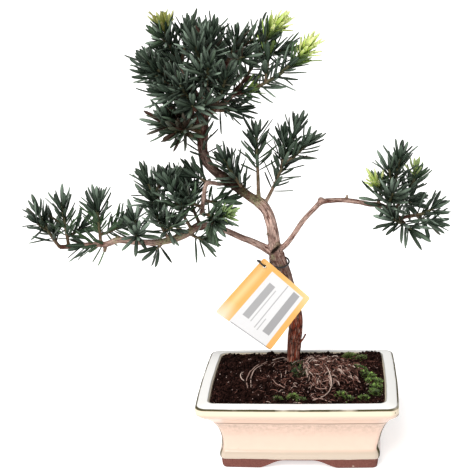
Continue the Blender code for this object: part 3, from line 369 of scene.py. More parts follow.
# Sprays with short shoots beside their stems: one for each so many millimetres, at an angle, of some length
SHOOTY = (
    "crown_low_left", "crown_left_low", "crown_left_mid", "crown_left_back", "crown_front_left",
    "crown_front_mid", "crown_front_high", "crown_peak_left", "crown_peak", "crown_rear", "crown_back_tip",
    "left_pad_outer", "left_pad_front", "left_pad_rear", "left_mid", "left_tall", "left_end",
    "crown_peak_back", "bent_end",
)
SHOOT_STEP = 17.0
SHOOT_ANGLE = 44.0
SHOOT_LENGTH = (9, 15)

# The hang tag and its tie
TAG_SIZE = (57.3, 53.7)
TAG_FLARE = (5.6, 4.8)
TAG_TOP_CORNER = np.array((-26.0, -8.5, 178.5))
TAG_TILT = 44.35
TAG_LEAN = -6.0
TAG_TURN = 8.0
TAG_HOLE_INSET = 5.2
TAG_HOLE_RADIUS = 1.4
TAG_CORNER = 1.4
TAG_FRONT = 0.72
TAG_BACK = 0.2
TIE_HEIGHT = 170.5
TIE_LOOP_RADIUS = 8.5
TIE_HEADINGS = (205, 160, 120, 80, 40, 0, -40, -80)
TIE_OVER_EDGE = 2.2
TIE_FRONT = 2.2
TIE_BEHIND = (3.6, 1.3)
TIE_RISE = 2.5
TIE_SIDES = 10

# Plain rules and fields on the card: place across it, half their width, from and to where along, strength
CARD_RULES = (
    (20.9, 3.1, 12, 46.5, 0.55), (26.4, 0.45, 14, 47, 0.42), (32, 0.42, 4.5, 49.5, 0.5),
    (34.9, 0.4, 37.5, 50, 0.45), (42.2, 3.3, 5, 48, 0.6),
)

# Colours that only one finish uses
RIM_CREAM = (0.8, 0.73, 0.53)
PALE_CLAY = (0.3, 0.11, 0.08)
DARK_CLAY = (0.11, 0.035, 0.024)
LOW_RED = (0.29, 0.048, 0.02)
LOW_PINK = (0.66, 0.34, 0.25)
DRY_LICHEN = (0.34, 0.34, 0.2)
TWIG_GREEN = (0.09, 0.085, 0.035)
YOUNG_LIME = (0.4, 0.56, 0.07)
YOUNG_FOOT = (0.2, 0.32, 0.05)
YOUNG_TIP = (0.85, 0.88, 0.55)
YOUNG_RIB = (0.66, 0.78, 0.25)
RIPE_SHOOT = (0.24, 0.2, 0.035)
LIME = (0.4, 0.56, 0.12)
# A pale midrib, partly a painted highlight along the blade
PALE_RIB_AND_HIGHLIGHT = (0.21, 0.28, 0.2)
LEAF_MARGIN = (0.11, 0.15, 0.07)
STEM_BROWN = (0.13, 0.065, 0.035)
STEM_DARK = (0.04, 0.03, 0.015)
CARD_PALE = (0.72, 0.64, 0.5)
CARD_BACK = (0.86, 0.85, 0.83)
CARD_FIBRE = (0.5, 0.42, 0.3)
BLACK_PLASTIC = (0.02, 0.02, 0.02)

# The camera, at the photograph's angle, the floor and the light
CAMERA_PLACE = (46.5, -885.3, 449.8)
CAMERA_DOWN = 15.863
CAMERA_TURN = -6.28
CAMERA_ROLL = -2.707
CAMERA_LENS = 82.28
SENSOR = 36.0
FLOOR_RADIUS = 16.0
FLOOR_PALE = (0.9, 0.9, 0.9)
KEY_SOFTNESS = 38.0
KEY_COLOUR = (1.0, 0.985, 0.96)
KEY_TURNS = (44, 0, -26)


def colour(name, description, default):
    limits = {"subtype": "COLOR", "min": 0.0, "max": 1.0}
    return FloatVectorProperty(name=name, description=description, default=default, **limits)


def size(name, description, default, low=0.0):
    return FloatProperty(name=name, description=description, default=default, min=low, unit="LENGTH")


class PotSettings(bpy.types.PropertyGroup):
    """Sizes and colours of the glazed pot."""

    length: size("Length", "Outer length of the rim", POT_BOX[1].x - POT_BOX[0].x - 2 * POT_BOW * MM)
    width: size("Width", "Outer width of the rim", POT_BOX[1].y - POT_BOX[0].y - 2 * POT_BOW * MM)
    glaze: colour("Glaze", "Cream glaze on the sides", (0.735, 0.53, 0.43))
    # The rim's top is painted near white: whiter glaze, partly painted light on the face that looks up.
    rim_glaze_and_light: colour("Pale glaze", "Thicker, whiter glaze on the rim", (0.93, 0.925, 0.91))
    moulding: colour("Moulding", "Glaze on the base moulding and the rim's face", (0.495, 0.415, 0.335))
    broken_glaze: colour("Broken glaze", "Thin glaze along sharp edges", (0.07, 0.06, 0.03))
    clay: colour("Clay", "Unglazed clay of the feet", (0.095, 0.021, 0.015))


class SoilSettings(bpy.types.PropertyGroup):
    """Colours and number of crumbs of the soil."""

    dark: colour("Dark", "Damp soil", (0.0016, 0.0007, 0.0006))
    light: colour("Light", "Drier crumbs", (0.17, 0.07, 0.054))
    pale: colour("Pale", "Pale bits of bark and fibre", (0.55, 0.4, 0.36))
    crumbs: IntProperty(name="Crumbs", description="Number of loose crumbs", default=2600, min=0)
    pale_bits: IntProperty(name="Pale bits", description="Number of small pale bits", default=400, min=0)


class MossSettings(bpy.types.PropertyGroup):
    """Colours and density of the moss."""

    bright: colour("Bright", "Fresh moss", (0.54, 0.9, 0.17))
    dark: colour("Dark", "Shaded moss", (0.002, 0.008, 0.003))
    yellow: colour("Yellow", "Dry moss", (0.24, 0.27, 0.06))
    leaflet: size("Leaflet", "Length of a moss leaflet", 0.0021)


class RootSettings(bpy.types.PropertyGroup):
    """Colours and number of the fine roots."""

    dark: colour("Dark", "Darker roots", (0.0025, 0.001, 0.0008))
    light: colour("Light", "Lighter roots", (0.33, 0.15, 0.115))
    pale: colour("Pale", "Bare pale roots", (0.86, 0.67, 0.58))
    strands: IntProperty(name="Strands", description="Number of fine roots in the mat", default=760, min=0)


class WoodSettings(bpy.types.PropertyGroup):
    """Colours and relief of the bark."""

    red: colour("Red", "Dark red-brown bark", (0.085, 0.022, 0.012))
    pink: colour("Pink", "Pale pinkish bark", (0.6, 0.41, 0.345))
    grey: colour("Grey", "Weathered flakes", (0.5, 0.37, 0.31))
    # This colour darkens the cracks between the flakes, and is also the painted shade at the fork and among
    # the leaves.
    crack_and_shade: colour("Crevice", "Cracks between the flakes", (0.01, 0.007, 0.005))
    lichen: colour("Lichen", "Lichen on the bark", (0.2, 0.2, 0.095))
    relief: size("Relief", "Height of the bark's flakes", 0.0007)
    detail: size("Detail", "Size of the smallest face", 0.00058, 0.0004)


class LeafSettings(bpy.types.PropertyGroup):
    """Sizes, number and colours of the leaves."""

    length: size("Length", "Mean length of a leaf", 0.0202)
    width: size("Width", "Mean width of a leaf", 0.0035)
    step: size("Step", "Length of stem for each leaf", 0.0014)
    dark: colour("Dark", "Old leaves", (0.001, 0.0024, 0.0016))
    light: colour("Light", "Paler old leaves", (0.26, 0.34, 0.27))
    fresh: colour("Fresh", "Fresh leaves", (0.1, 0.18, 0.08))
    # The underside colour is painted shade: the undersides are kept dark as if they lay in shade.
    under: colour("Underside", "Underside of the leaves", (0.02, 0.036, 0.023))
    young: colour("Young", "Young shoots", (0.74, 0.8, 0.34))
    green: colour("Green", "Greener young shoots", (0.2, 0.32, 0.14))
    old: colour("Old", "Withered leaves", (0.045, 0.019, 0.013))
    stem: colour("Stem", "Leafy stems", (0.10, 0.095, 0.04))


class TagSettings(bpy.types.PropertyGroup):
    """Colours of the hang tag and its tie."""

    amber: colour("Amber", "Border of the card", (0.74, 0.37, 0.09))
    yellow: colour("Yellow", "Lighter side of the border", (0.73, 0.6, 0.3))
    panel: colour("Panel", "Middle of the card", (0.66, 0.66, 0.675))
    rule: colour("Rule", "Plain ruled lines", (0.06, 0.06, 0.07))
    tie: colour("Tie", "Coated wire of the tie", (0.012, 0.012, 0.013))
    tie_radius: size("Tie radius", "Radius of the tie", 0.0008)


class StageSettings(bpy.types.PropertyGroup):
    """Floor and light."""

    floor: colour("Floor", "Floor under the pot", (0.8, 0.795, 0.79))
    glow: FloatProperty(name="Glow", description="Light of the floor itself", default=0.62, min=0.0)
    surroundings: FloatProperty(name="Sky", description="Light from all round", default=0.32, min=0.0)
    key: FloatProperty(name="Key", description="Soft light from the upper left", default=3.55, min=0.0)


def lay(points):
    """Points in millimetres from the pot's middle, as metres in the frame."""
    return (np.asarray(points, float) + POT_PLACE) * MM


def settle(piece, slot, *nodes):
    """Lets a piece ride on the part and stand for its nodes. Its slot is not used."""
    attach(piece, "root")
    if nodes:
        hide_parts(*nodes)
    return piece


def add_to_scene(name, data):
    made = bpy.data.objects.new(name, data)
    bpy.context.scene.collection.objects.link(made)
    return made


def add_object(name, points, faces, *finishes):
    mesh = bpy.data.meshes.new(name)
    mesh.from_pydata(lay(points).tolist(), [], faces)
    mesh.update()
    for finish in finishes:
        mesh.materials.append(finish)
    return add_to_scene(name, mesh)


def paint_points(piece, name, values):
    """A number or a vector for each point, which the material reads."""
    values = np.asarray(values, np.float32)
    kind, field = ("FLOAT", "value") if values.ndim == 1 else ("FLOAT_VECTOR", "vector")
    layer = piece.data.attributes.new(name, kind, "POINT")
    layer.data.foreach_set(field, values.ravel())


def places_of(piece):
    """The piece's points, in millimetres from the pot's middle."""
    flat = np.empty(len(piece.data.vertices) * 3)
    piece.data.vertices.foreach_get("co", flat)
    return flat.reshape(-1, 3) / MM - POT_PLACE


def move_points(piece, places):
    piece.data.vertices.foreach_set("co", lay(places).ravel())


def baked(piece):
    """Applies the piece's modifiers."""
    graph = bpy.context.evaluated_depsgraph_get()
    shaped = piece.evaluated_get(graph)
    made = bpy.data.meshes.new_from_object(shaped, preserve_all_data_layers=True, depsgraph=graph)
    piece.modifiers.clear()
    piece.data = made


def cut_away(piece, cutters):
    """Cuts closed shapes out of a piece, and removes them."""
    for cutter in cutters:
        turn_outwards(cutter)
        cut = piece.modifiers.new("Cut", "BOOLEAN")
        cut.object = cutter
        cut.operation = "DIFFERENCE"
    baked(piece)
    for cutter in cutters:
        bpy.data.objects.remove(cutter, do_unlink=True)


def turn_outwards(piece):
    mesh = bmesh.new()
    mesh.from_mesh(piece.data)
    bmesh.ops.recalc_face_normals(mesh, faces=mesh.faces)
    mesh.to_mesh(piece.data)
    mesh.free()


class Pile:
    """A piece in the making: its points and faces, and the values that its points carry."""

    def __init__(self):
        self.points, self.faces, self.values = [], [], {}
        self.count = 0

    def add(self, points, faces, **values):
        """Adds a shape. Each value is one for the whole shape, or a list with one for each point."""
        self.faces += [tuple(self.count + i for i in face) for face in faces]
        for name, value in values.items():
            self.values.setdefault(name, []).extend(value if np.ndim(value) else [value] * len(points))
        self.points.append(points)
        self.count += len(points)

    def piece(self, name, *finishes, outwards=False):
        made = add_object(name, np.concatenate(self.points), self.faces, *finishes)
        if outwards:
            turn_outwards(made)
        for layer, values in self.values.items():
            paint_points(made, layer, values)
        return made


def bridge(first, second):
    """Faces between two rings of point numbers."""
    size = len(first)
    return [(first[i], first[(i + 1) % size], second[(i + 1) % size], second[i]) for i in range(size)]


def rings_to_faces(rings, size, closed_ends=True):
    """Faces between rings of points, each of the given size, numbered one after another."""
    numbers = [range(low, low + size) for low in range(0, rings * size, size)]
    faces = [face for pair in zip(numbers, numbers[1:]) for face in bridge(*pair)]
    if closed_ends:
        faces += [tuple(reversed(numbers[0])), tuple(numbers[-1])]
    return faces


def smooth_path(stations, steps):
    """Points of a smooth curve through the stations, which may carry a radius as a last value."""
    stations = [Vector(s) for s in stations]
    padded = [2 * stations[0] - stations[1], *stations, 2 * stations[-1] - stations[-2]]
    points = []
    for a, b, c, d in zip(padded, padded[1:], padded[2:], padded[3:]):
        for step in range(steps):
            t = step / steps
            square, cube = (2 * a - 5 * b + 4 * c - d) * t * t, (3 * b - a - 3 * c + d) * t ** 3
            points.append(0.5 * (2 * b + (c - a) * t + square + cube))
    points.append(stations[-1])
    return points


def path_length(path):
    return sum((b - a).length for a, b in zip(path, path[1:]))


def along(path, share):
    """The point and the direction at a share of the path's length."""
    points = [Vector(p[:3]) for p in path]
    lengths = [(b - a).length for a, b in zip(points, points[1:])]
    left = share * sum(lengths)
    for a, b, length in zip(points, points[1:], lengths):
        if left <= length or b is points[-1]:
            return a.lerp(b, min(left / length, 1.0)), (b - a).normalized()
        left -= length
    return points[-1], (points[-1] - points[-2]).normalized()


def level_way(angle):
    return Vector((math.cos(angle), math.sin(angle), 0))


def level_of(direction):
    """A level unit vector square to the direction."""
    level = direction.cross(UP)
    return level.normalized() if level.length > 0.01 * direction.length else Vector((1, 0, 0))


def frames_along(path):
    """At each point of a path: the point, the way ahead and two directions across, turned very little."""
    path = [Vector(p[:3]) for p in path]
    across = level_of(path[1] - path[0])
    for i, centre in enumerate(path):
        ahead = (path[min(i + 1, len(path) - 1)] - path[max(i - 1, 0)]).normalized()
        across = (across - ahead * across.dot(ahead)).normalized()
        yield centre, ahead, across, ahead.cross(across)


def tube(path, radii, sides):
    """Points and faces of a closed tube along a path."""
    turns = 2 * math.pi * np.arange(sides) / sides
    rings = []
    for (centre, _, across, beside), radius in zip(frames_along(path), radii):
        ring = np.outer(np.cos(turns), across) + np.outer(np.sin(turns), beside)
        rings.append(np.array(centre) + radius * ring)
    return np.concatenate(rings), rings_to_faces(len(rings), sides)


def bell(x, y, place, reach):
    return np.exp(-(((x - place[0]) / reach[0]) ** 2) - ((y - place[1]) / reach[1]) ** 2)


def noise_at(points, scale, seed=0.0):
    """Smooth noise between -1 and 1 at each point, one swell about every 1 / scale millimetres."""
    return np.array([noise.noise(Vector(p) * scale + Vector((seed, seed, seed))) for p in points])


def far_from(places, place):
    """How far each of many places is from one."""
    return np.linalg.norm(places - np.array(place), axis=1)


class Brush:
    """Adds shader nodes to one tree. Each call gives back the socket that carries its result."""

    def __init__(self, tree, made=None):
        self.tree, self.made = tree, made

    def feed(self, socket, value):
        if isinstance(value, bpy.types.NodeSocket):
            self.tree.links.new(value, socket)
        elif socket.type == "RGBA":
            socket.default_value = (*tuple(value)[:3], 1.0)
        else:
            socket.default_value = value

    def feed_all(self, node, inputs):
        for key, value in inputs.items():
            self.feed(node.inputs[key], value)

    def put(self, kind, inputs, out=0, **settings):
        node = self.tree.nodes.new("ShaderNode" + kind)
        for key, value in settings.items():
            setattr(node, key, value)
        self.feed_all(node, inputs)
        return node.outputs[out]

    def math(self, operation, *values):
        return self.put("Math", dict(enumerate(values)), operation=operation)

    def plus(self, *values):
        return self.math("ADD", *values)

    def minus(self, *values):
        return self.math("SUBTRACT", *values)

    def times(self, first, *others):
        for other in others:
            first = self.math("MULTIPLY", first, other)
        return first

    def most(self, first, *others):
        for other in others:
            first = self.math("MAXIMUM", first, other)
        return first

    def swing(self, value, reach):
        """A value round a half, as one that swings so far round nought."""
        return self.times(self.minus(value, 0.5), reach)

    def vector(self, operation, *values, out=0):
        return self.put("VectorMath", dict(enumerate(values)), out=out, operation=operation)

    def part(self, vector, out):
        """One of a vector's three numbers."""
        return self.put("SeparateXYZ", {0: vector}, out=out)

    def span(self, value, low, high, start=0.0, end=1.0):
        """Turns low to high into start to end, and keeps to those."""
        return self.put("MapRange", {0: value, 1: low, 2: high, 3: start, 4: end})

    def meet(self, *spans):
        """Where several spans meet: their product."""
        return self.times(*(self.span(*span) for span in spans))

    def mix(self, factor, first, second):
        return self.put("Mix", {0: factor, 6: first, 7: second}, out=2, data_type="RGBA")

    def over(self, tint, *coats):
        """Lays coats over a tint, each with a mask or its span, a colour and, unless whole, a strength."""
        for mask, coat, *strength in coats:
            mask = self.span(*mask) if isinstance(mask, tuple) else mask
            tint = self.mix(self.times(mask, *strength), tint, coat)
        return tint

    def noise(self, vector, scale, detail=3.0):
        return self.put("TexNoise", {"Vector": vector, "Scale": scale, "Detail": detail})

    def layer(self, name, out="Fac"):
        """What paint_points left on the mesh."""
        return self.put("Attribute", {}, out=out, attribute_name=name)

    def place(self):
        """The place on the piece, in millimetres."""
        spot = self.put("TexCoord", {}, out="Object")
        return self.vector("MULTIPLY", spot, (1 / MM, 1 / MM, 1 / MM))

    def bump(self, height, strength, depth):
        return self.put("Bump", {"Strength": strength, "Distance": depth * MM, "Height": height})

    def effect(self, name, inputs, out):
        node = self.tree.nodes.new("ShaderNodeGroup")
        node.node_tree = shared_effect(name)
        self.feed_all(node, inputs)
        return node.outputs[out]

    def cloud(self, place, scale, contrast):
        return self.effect("Mottle", {"Place": place, "Scale": scale, "Contrast": contrast}, "Value")

    def specks(self, place, scale, share, size):
        return self.effect("Specks", {"Place": place, "Scale": scale, "Share": share, "Size": size}, "Mask")

    def fibres(self, across, along, out):
        grain = self.layer("grain", "Vector")
        return self.effect("Fibres", {"Grain": grain, "Across": across, "Along": along}, out)

    def shade(self, tint, rough, inputs):
        """Feeds the material's own shader, and gives back the material."""
        shader = self.tree.nodes["Principled BSDF"]
        self.feed_all(shader, {"Base Color": tint, "Roughness": rough, **inputs})
        return self.made


def mottle(brush, given):
    """Cloudy variation in two sizes."""
    broad = brush.noise(given["Place"], given["Scale"])
    fine = brush.noise(given["Place"], brush.times(given["Scale"], 4.3), 4)
    both = brush.math("MULTIPLY_ADD", fine, 0.4, brush.times(broad, 0.6))
    return {"Value": brush.span(brush.plus(brush.swing(both, given["Contrast"]), 0.5), 0.25, 0.75)}


def specks(brush, given):
    """Small round specks, each cell holding one or none."""
    cells = {"Vector": given["Place"], "Scale": given["Scale"]}
    draw = brush.put("SeparateColor", {0: brush.put("TexVoronoi", cells, out="Color")})
    chosen = brush.math("LESS_THAN", draw, given["Share"])
    distance = brush.put("TexVoronoi", cells, out="Distance")
    within = brush.span(distance, given["Size"], brush.times(given["Size"], 0.6))
    return {"Mask": brush.times(chosen, within)}


def fibres(brush, given):
    """Streaks and cracks that run along a limb or a root, from its straightened grain."""
    stretch = brush.put("CombineXYZ", {0: given["Across"], 1: given["Across"], 2: given["Along"]})
    drawn = brush.vector("MULTIPLY", given["Grain"], stretch)
    sway = brush.put("TexNoise", {"Vector": drawn, "Scale": 0.8, "Detail": 2}, out="Color")
    drawn = brush.vector("ADD", drawn, brush.vector("MULTIPLY", sway, (0.7, 0.7, 0.7)))
    flake = brush.put("TexVoronoi", {"Vector": drawn, "Scale": 1}, out="Color")
    edge = brush.put("TexVoronoi", {"Vector": drawn, "Scale": 1}, feature="DISTANCE_TO_EDGE")
    return {
        "Streak": brush.noise(drawn, 2.2, 5),
        "Flake": brush.put("SeparateColor", {0: flake}),
        "Crack": brush.span(edge, 0.14, 0.02),
    }


def leaf_blade(brush, given):
    """The midrib, the margin and the fine length lines of a leaf, from its own coordinates."""
    side = brush.math("ABSOLUTE", brush.part(given["Blade"], 0))
    lines = brush.noise(brush.vector("MULTIPLY", given["Blade"], (9, 1.2, 1)), 1)
    return {"Rib": brush.span(side, 0.2, 0.05), "Margin": brush.span(side, 0.82, 1), "Lines": lines}


# Effects that finishes share: what draws each, and its inputs, with a value each or none for a vector
EFFECTS = {
    "Mottle": (mottle, {"Place": None, "Scale": 0.1, "Contrast": 1}),
    "Specks": (specks, {"Place": None, "Scale": 0.5, "Share": 0.1, "Size": 0.3}),
    "Fibres": (fibres, {"Grain": None, "Across": 0.5, "Along": 0.1}),
    "Leaf Blade": (leaf_blade, {"Blade": None}),
}


def shared_effect(name):
    """The node group of an effect, which is built the first time that a finish asks for it."""
    group = bpy.data.node_groups.get(name)
    if group:
        return group
    draw, inputs = EFFECTS[name]
    group = bpy.data.node_groups.new(name, "ShaderNodeTree")
    for label, value in inputs.items():
        kind = "NodeSocketVector" if value is None else "NodeSocketFloat"
        socket = group.interface.new_socket(label, in_out="INPUT", socket_type=kind)
        if value is not None:
            socket.default_value = value
    brush = Brush(group)
    results = draw(brush, group.nodes.new("NodeGroupInput").outputs)
    for label in results:
        group.interface.new_socket(label, in_out="OUTPUT", socket_type="NodeSocketFloat")
    brush.feed_all(group.nodes.new("NodeGroupOutput"), results)
    return group


def new_finish(name):
    """A brush for the nodes of a new material."""
    made = bpy.data.materials.new(name)
    made.use_nodes = True
    return Brush(made.node_tree, made)


def worn_glaze(brush, spot, height, inset):
    """Where the glaze breaks brown: round the rim's edge and its lip, down the corners, and at its flaws."""
    line = brush.plus(inset, brush.swing(brush.noise(spot, 0.06, 2), 0.7))
    broad, fine, corner = brush.noise(spot, 0.05), brush.noise(spot, 0.09), brush.layer("corner")
    broken = brush.most(
        brush.meet((line, 0, 0.25), (line, 2, 1.4), (height, 61.8, 62.5), (broad, 0.3, 0.48, 0.5, 1)),
        brush.times(brush.meet((line, 9.5, 9.9), (line, 11.1, 10.7)), 0.6),
        brush.meet((corner, 0.15, 0.55), (height, 58, 55.5), (fine, 0.32, 0.48, 0.45, 1)),
    )
    for flaw in GLAZE_FLAWS:
        away = brush.vector("DISTANCE", spot, Vector(flaw) + Vector(POT_PLACE), out="Value")
        broken = brush.most(broken, brush.span(away, 1.25, 0.6))
    return broken


def glaze_finish(look):
    """Cream glaze that breaks brown on the edges, over clay that shows at the feet."""
    brush = new_finish("Cream Glaze")
    spot, inset = brush.place(), brush.layer("inset")
    height = brush.part(spot, 2)
    cloud, fine = brush.cloud(spot, 0.035, 1.4), brush.cloud(spot, 0.32, 1.2)
    broken = worn_glaze(brush, spot, height, inset)
    streaked = brush.mix(fine, look.broken_glaze, look.glaze)
    body = brush.over(
        look.glaze,
        (cloud, look.moulding, 0.25),
        ((height, 18.5, 15.5), look.moulding),
        ((height, 52, 57, 0, 0.45), look.moulding),
        ((height, 56.5, 59, 0, 0.6), RIM_CREAM),
        # Near-white rim top: whiter glaze with painted light.
        (brush.meet((height, 62.9, 63.6), (inset, 11, 10.2)), look.rim_glaze_and_light),
        (brush.meet((inset, 10.9, 11.6), (height, 30, 50)), streaked, 0.65),
        (broken, look.broken_glaze),
        (brush.specks(spot, 0.32, 0.05, 0.11), look.broken_glaze, 0.35),
    )
    raw = brush.over(
        look.clay,
        (brush.cloud(spot, 0.9, 1.6), PALE_CLAY, 0.45),
        (cloud, DARK_CLAY, 0.35),
        (brush.specks(spot, 0.12, 0.12, 0.16), look.moulding, 0.6),
    )
    edge = brush.plus(GLAZE_LINE, brush.swing(brush.noise(spot, 0.07), 2.2))
    clay = brush.math("LESS_THAN", height, edge)
    gloss = brush.span(fine, 0, 1, 0.14, 0.24)
    rough = brush.put("Mix", {0: clay, 2: gloss, 3: 0.85}, data_type="FLOAT")
    ripple = brush.times(brush.noise(spot, 0.12, 2), brush.span(height, 46, 40), 0.15)
    grain = brush.times(brush.noise(spot, 2.2, 4), clay)
    return brush.shade(brush.mix(clay, body, raw), brush.most(rough, brush.times(broken, 0.4)), {
        "Specular IOR Level": brush.span(broken, 0, 1, 0.5, 0),
        "IOR": 1.52,
        "Normal": brush.bump(brush.plus(ripple, grain), 0.6, 0.35),
    })


def soil_finish(look):
    """Dark crumbly soil. Loose bits carry their own tone."""
    brush = new_finish("Potting Soil")
    spot, tone = brush.place(), brush.layer("tone")
    cloud = brush.cloud(spot, 0.09, 1.8)
    mixed = brush.plus(brush.times(brush.cloud(spot, 0.75, 2.2), 0.6), brush.times(cloud, 0.35))
    tint = brush.over(
        look.dark,
        (brush.times(brush.math("POWER", mixed, 3.2), brush.span(tone, 0, 0.5, 0.4, 1)), look.light),
        (brush.specks(spot, 0.55, 0.05, 0.2), look.pale, 0.5),
        ((tone, 0.7, 1), look.pale),
    )
    relief = brush.bump(brush.noise(spot, 1.6, 5), 0.8, 0.5)
    rough = brush.span(cloud, 0, 1, 0.72, 0.98)
    return brush.shade(tint, rough, {"Specular IOR Level": 0.03, "Normal": relief})


def moss_finish(look):
    """Tiny leaflets, bright, shaded or dry."""
    brush = new_finish("Moss")
    patch = brush.cloud(brush.place(), 0.5, 1.5)
    tint = brush.over(
        look.dark,
        (brush.layer("bright"), look.bright),
        (brush.layer("dry"), look.yellow),
        (patch, look.dark, 0.6),
    )
    return brush.shade(tint, brush.span(patch, 0, 1, 0.45, 0.75), {
        "Subsurface Weight": 0.15,
        "Subsurface Radius": (0.001, 0.0015, 0.0005),
    })


def root_finish(look):
    """Dry fine roots, each with its own tone."""
    brush = new_finish("Dry Roots")
    tone, streak = brush.layer("tone"), brush.fibres(1.2, 0.2, "Streak")
    tint = brush.over(
        look.dark,
        ((tone, 0, 0.7), look.light),
        ((tone, 0.7, 1), look.pale),
        ((streak, 0.35, 0.7, 0.5, 0), look.dark),
    )
    return brush.shade(tint, brush.span(streak, 0.3, 0.7, 0.6, 0.85), {"Specular IOR Level": 0.08})


def bark_finish(look):
    """Flaking bark, red on the lower trunk, pale above it and dark higher up, with lichen. Painted light
    pales its front, and painted shade darkens the fork and the bark among the leaves.
    """
    brush = new_finish("Flaking Bark")
    spot, bark_shade = brush.place(), brush.layer("bark_shade")
    flake, crack = (brush.fibres(0.36, 0.07, out) for out in ("Flake", "Crack"))
    streak, hair = brush.fibres(0.34, 0.045, "Streak"), brush.fibres(0.9, 0.06, "Streak")
    low = brush.span(brush.part(spot, 2), *RED_BARK)
    # The pale tone carries painted light: it is paler where the bark faces the front.
    pale = brush.plus(brush.layer("pale_tone_and_front_light"), brush.swing(flake, 0.4))
    pale = brush.plus(pale, brush.swing(brush.cloud(spot, 0.17, 2), 0.5))
    pale = brush.plus(pale, brush.times(brush.swing(streak, 3.2), low))
    red, pink = brush.mix(low, look.red, LOW_RED), brush.mix(low, look.pink, LOW_PINK)
    crust = brush.times(brush.layer("lichen"), brush.span(brush.noise(spot, 0.55, 4), 0.42, 0.56))
    lichen = brush.mix(brush.span(brush.noise(spot, 1.4), 0.35, 0.65), look.lichen, DRY_LICHEN)
    tint = brush.over(
        red,
        ((pale, 0, 1), pink),
        (brush.meet((streak, 0.52, 0.66), (pale, 0, 0.8, 0.25, 0.8)), look.grey),
        ((streak, 0.48, 0.36, 0, 0.9), red),
        ((hair, 0.47, 0.36, 0, 0.75), look.crack_and_shade),
        (brush.times(crack, brush.span(low, 0, 1, 0.35, 0.8)), look.crack_and_shade),
        (crust, lichen, 0.85),
        (brush.layer("green"), TWIG_GREEN),
        # Painted shade at the fork and among the leaves: near black, with no sheen there.
        (bark_shade, look.crack_and_shade),
    )
    relief = brush.plus(brush.minus(streak, brush.times(crack, 0.6)), brush.times(crust, 0.3))
    return brush.shade(tint, brush.span(streak, 0.3, 0.7, 0.62, 0.9), {
        "Specular IOR Level": brush.span(bark_shade, 0, 0.8, 0.2, 0),
        "Normal": brush.bump(relief, 0.75, 0.6),
    })


def leaf_finish(look, young):
    """Leathery leaves with a pale midrib, each with its own tone and freshness. Old leaves carry painted
    shade at their feet and undersides, and a painted highlight along the midrib.
    """
    brush = new_finish("Young Leaves" if young else "Leathery Leaves")
    blade = {"Blade": brush.layer("blade", "Vector")}
    tone, fresh, old, under = (brush.layer(name) for name in ("tone", "fresh", "old", "under"))
    rib, margin, lines = (brush.effect("Leaf Blade", blade, out) for out in ("Rib", "Margin", "Lines"))
    length = brush.part(blade["Blade"], 1)
    if young:
        tint = brush.over(
            look.young,
            (tone, YOUNG_LIME, 0.8),
            ((length, 0.55, 0, 0, 0.75), YOUNG_FOOT),
            ((length, 0.7, 1, 0, 0.5), YOUNG_TIP),
            (fresh, look.green),
            (rib, YOUNG_RIB, 0.35),
            (old, RIPE_SHOOT),
        )
        glow = {"Subsurface Weight": 0.25, "Subsurface Radius": (0.001, 0.0015, 0.0004)}
    else:
        tint = brush.over(
            look.dark,
            (tone, look.light),
            (brush.cloud(brush.place(), 0.2, 1.3), look.light, 0.3),
            # Painted shade: each old leaf darkens towards its foot by the stem.
            ((length, 0.9, 0.15, 0, 0.85), look.dark),
            ((fresh, 0, 0.8), look.fresh),
            ((fresh, 0.82, 1, 0, 0.85), LIME),
            # Painted shade on the leaves' undersides.
            (under, look.under, 0.7),
            # The pale midrib is partly a painted highlight.
            (rib, PALE_RIB_AND_HIGHLIGHT, 0.35),
            (margin, LEAF_MARGIN, 0.2),
            ((lines, 0.5, 0.3, 0, 0.35), look.dark),
            (old, look.old),
        )
        glow = {}
    relief = brush.bump(brush.minus(lines, brush.times(rib, 0.9)), 0.45, 0.25)
    rough = brush.span(lines, 0.3, 0.7, 0.3, 0.46)
    return brush.shade(tint, rough, {"Specular IOR Level": 0.08, "Normal": relief, **glow})


def stem_finish(look):
    """Green stems that turn brown towards the wood."""
    brush = new_finish("Leafy Stems")
    cloud = brush.cloud(brush.place(), 0.6, 1.6)
    length = brush.part(brush.layer("blade", "Vector"), 1)
    tint = brush.over(STEM_BROWN, ((length, 0, 0.45), look.stem), (cloud, STEM_DARK, 0.4))
    return brush.shade(tint, brush.span(cloud, 0, 1, 0.5, 0.75), {})


def card_rules(brush, long_way, short_way):
    """Plain ruled lines and two blank grey fields on the card."""
    rules = []
    for place, half, start, end, strength in CARD_RULES:
        off = brush.math("ABSOLUTE", brush.minus(short_way, place))
        within = brush.meet((long_way, start, start + 0.3), (long_way, end, end - 0.3))
        rules.append(brush.times(brush.span(off, half + 0.12, half - 0.12, 0, strength), within))
    return brush.most(*rules)


def card_finish(look):
    """A coated card with an amber border and a white panel with plain rules."""
    brush = new_finish("Coated Card")
    long_way, short_way, face = (brush.part(brush.layer("card", "Vector"), out) for out in range(3))
    fibres = brush.cloud(brush.place(), 0.8, 1.5)
    middle = brush.math("ABSOLUTE", brush.minus(short_way, 5.6))
    side = brush.meet((short_way, 13, 13.3), (short_way, 48.9, 48.6))
    tint = brush.over(
        look.amber,
        (brush.meet((middle, 4.2, 0.6), (long_way, 2, 16, 0.25, 0.6)), look.yellow),
        (brush.meet((short_way, 22, 52), (long_way, 20, 0)), look.yellow, 0.85),
        (brush.meet((long_way, 42, 57, 0, 0.9), (short_way, 14, 7)), CARD_PALE),
        (brush.times(brush.span(long_way, 3.8, 4.1), side), look.panel),
        (card_rules(brush, long_way, short_way), look.rule),
        (brush.meet((long_way, 56.2, 56.6, 0, 0.6), (short_way, 13, 15)), look.rule),
        ((face, 0.5, 0.45), CARD_BACK),
        (fibres, CARD_FIBRE, 0.06),
    )
    rough = brush.span(fibres, 0, 1, 0.34, 0.46)
    return brush.shade(tint, rough, {"Normal": brush.bump(fibres, 0.12, 0.1)})


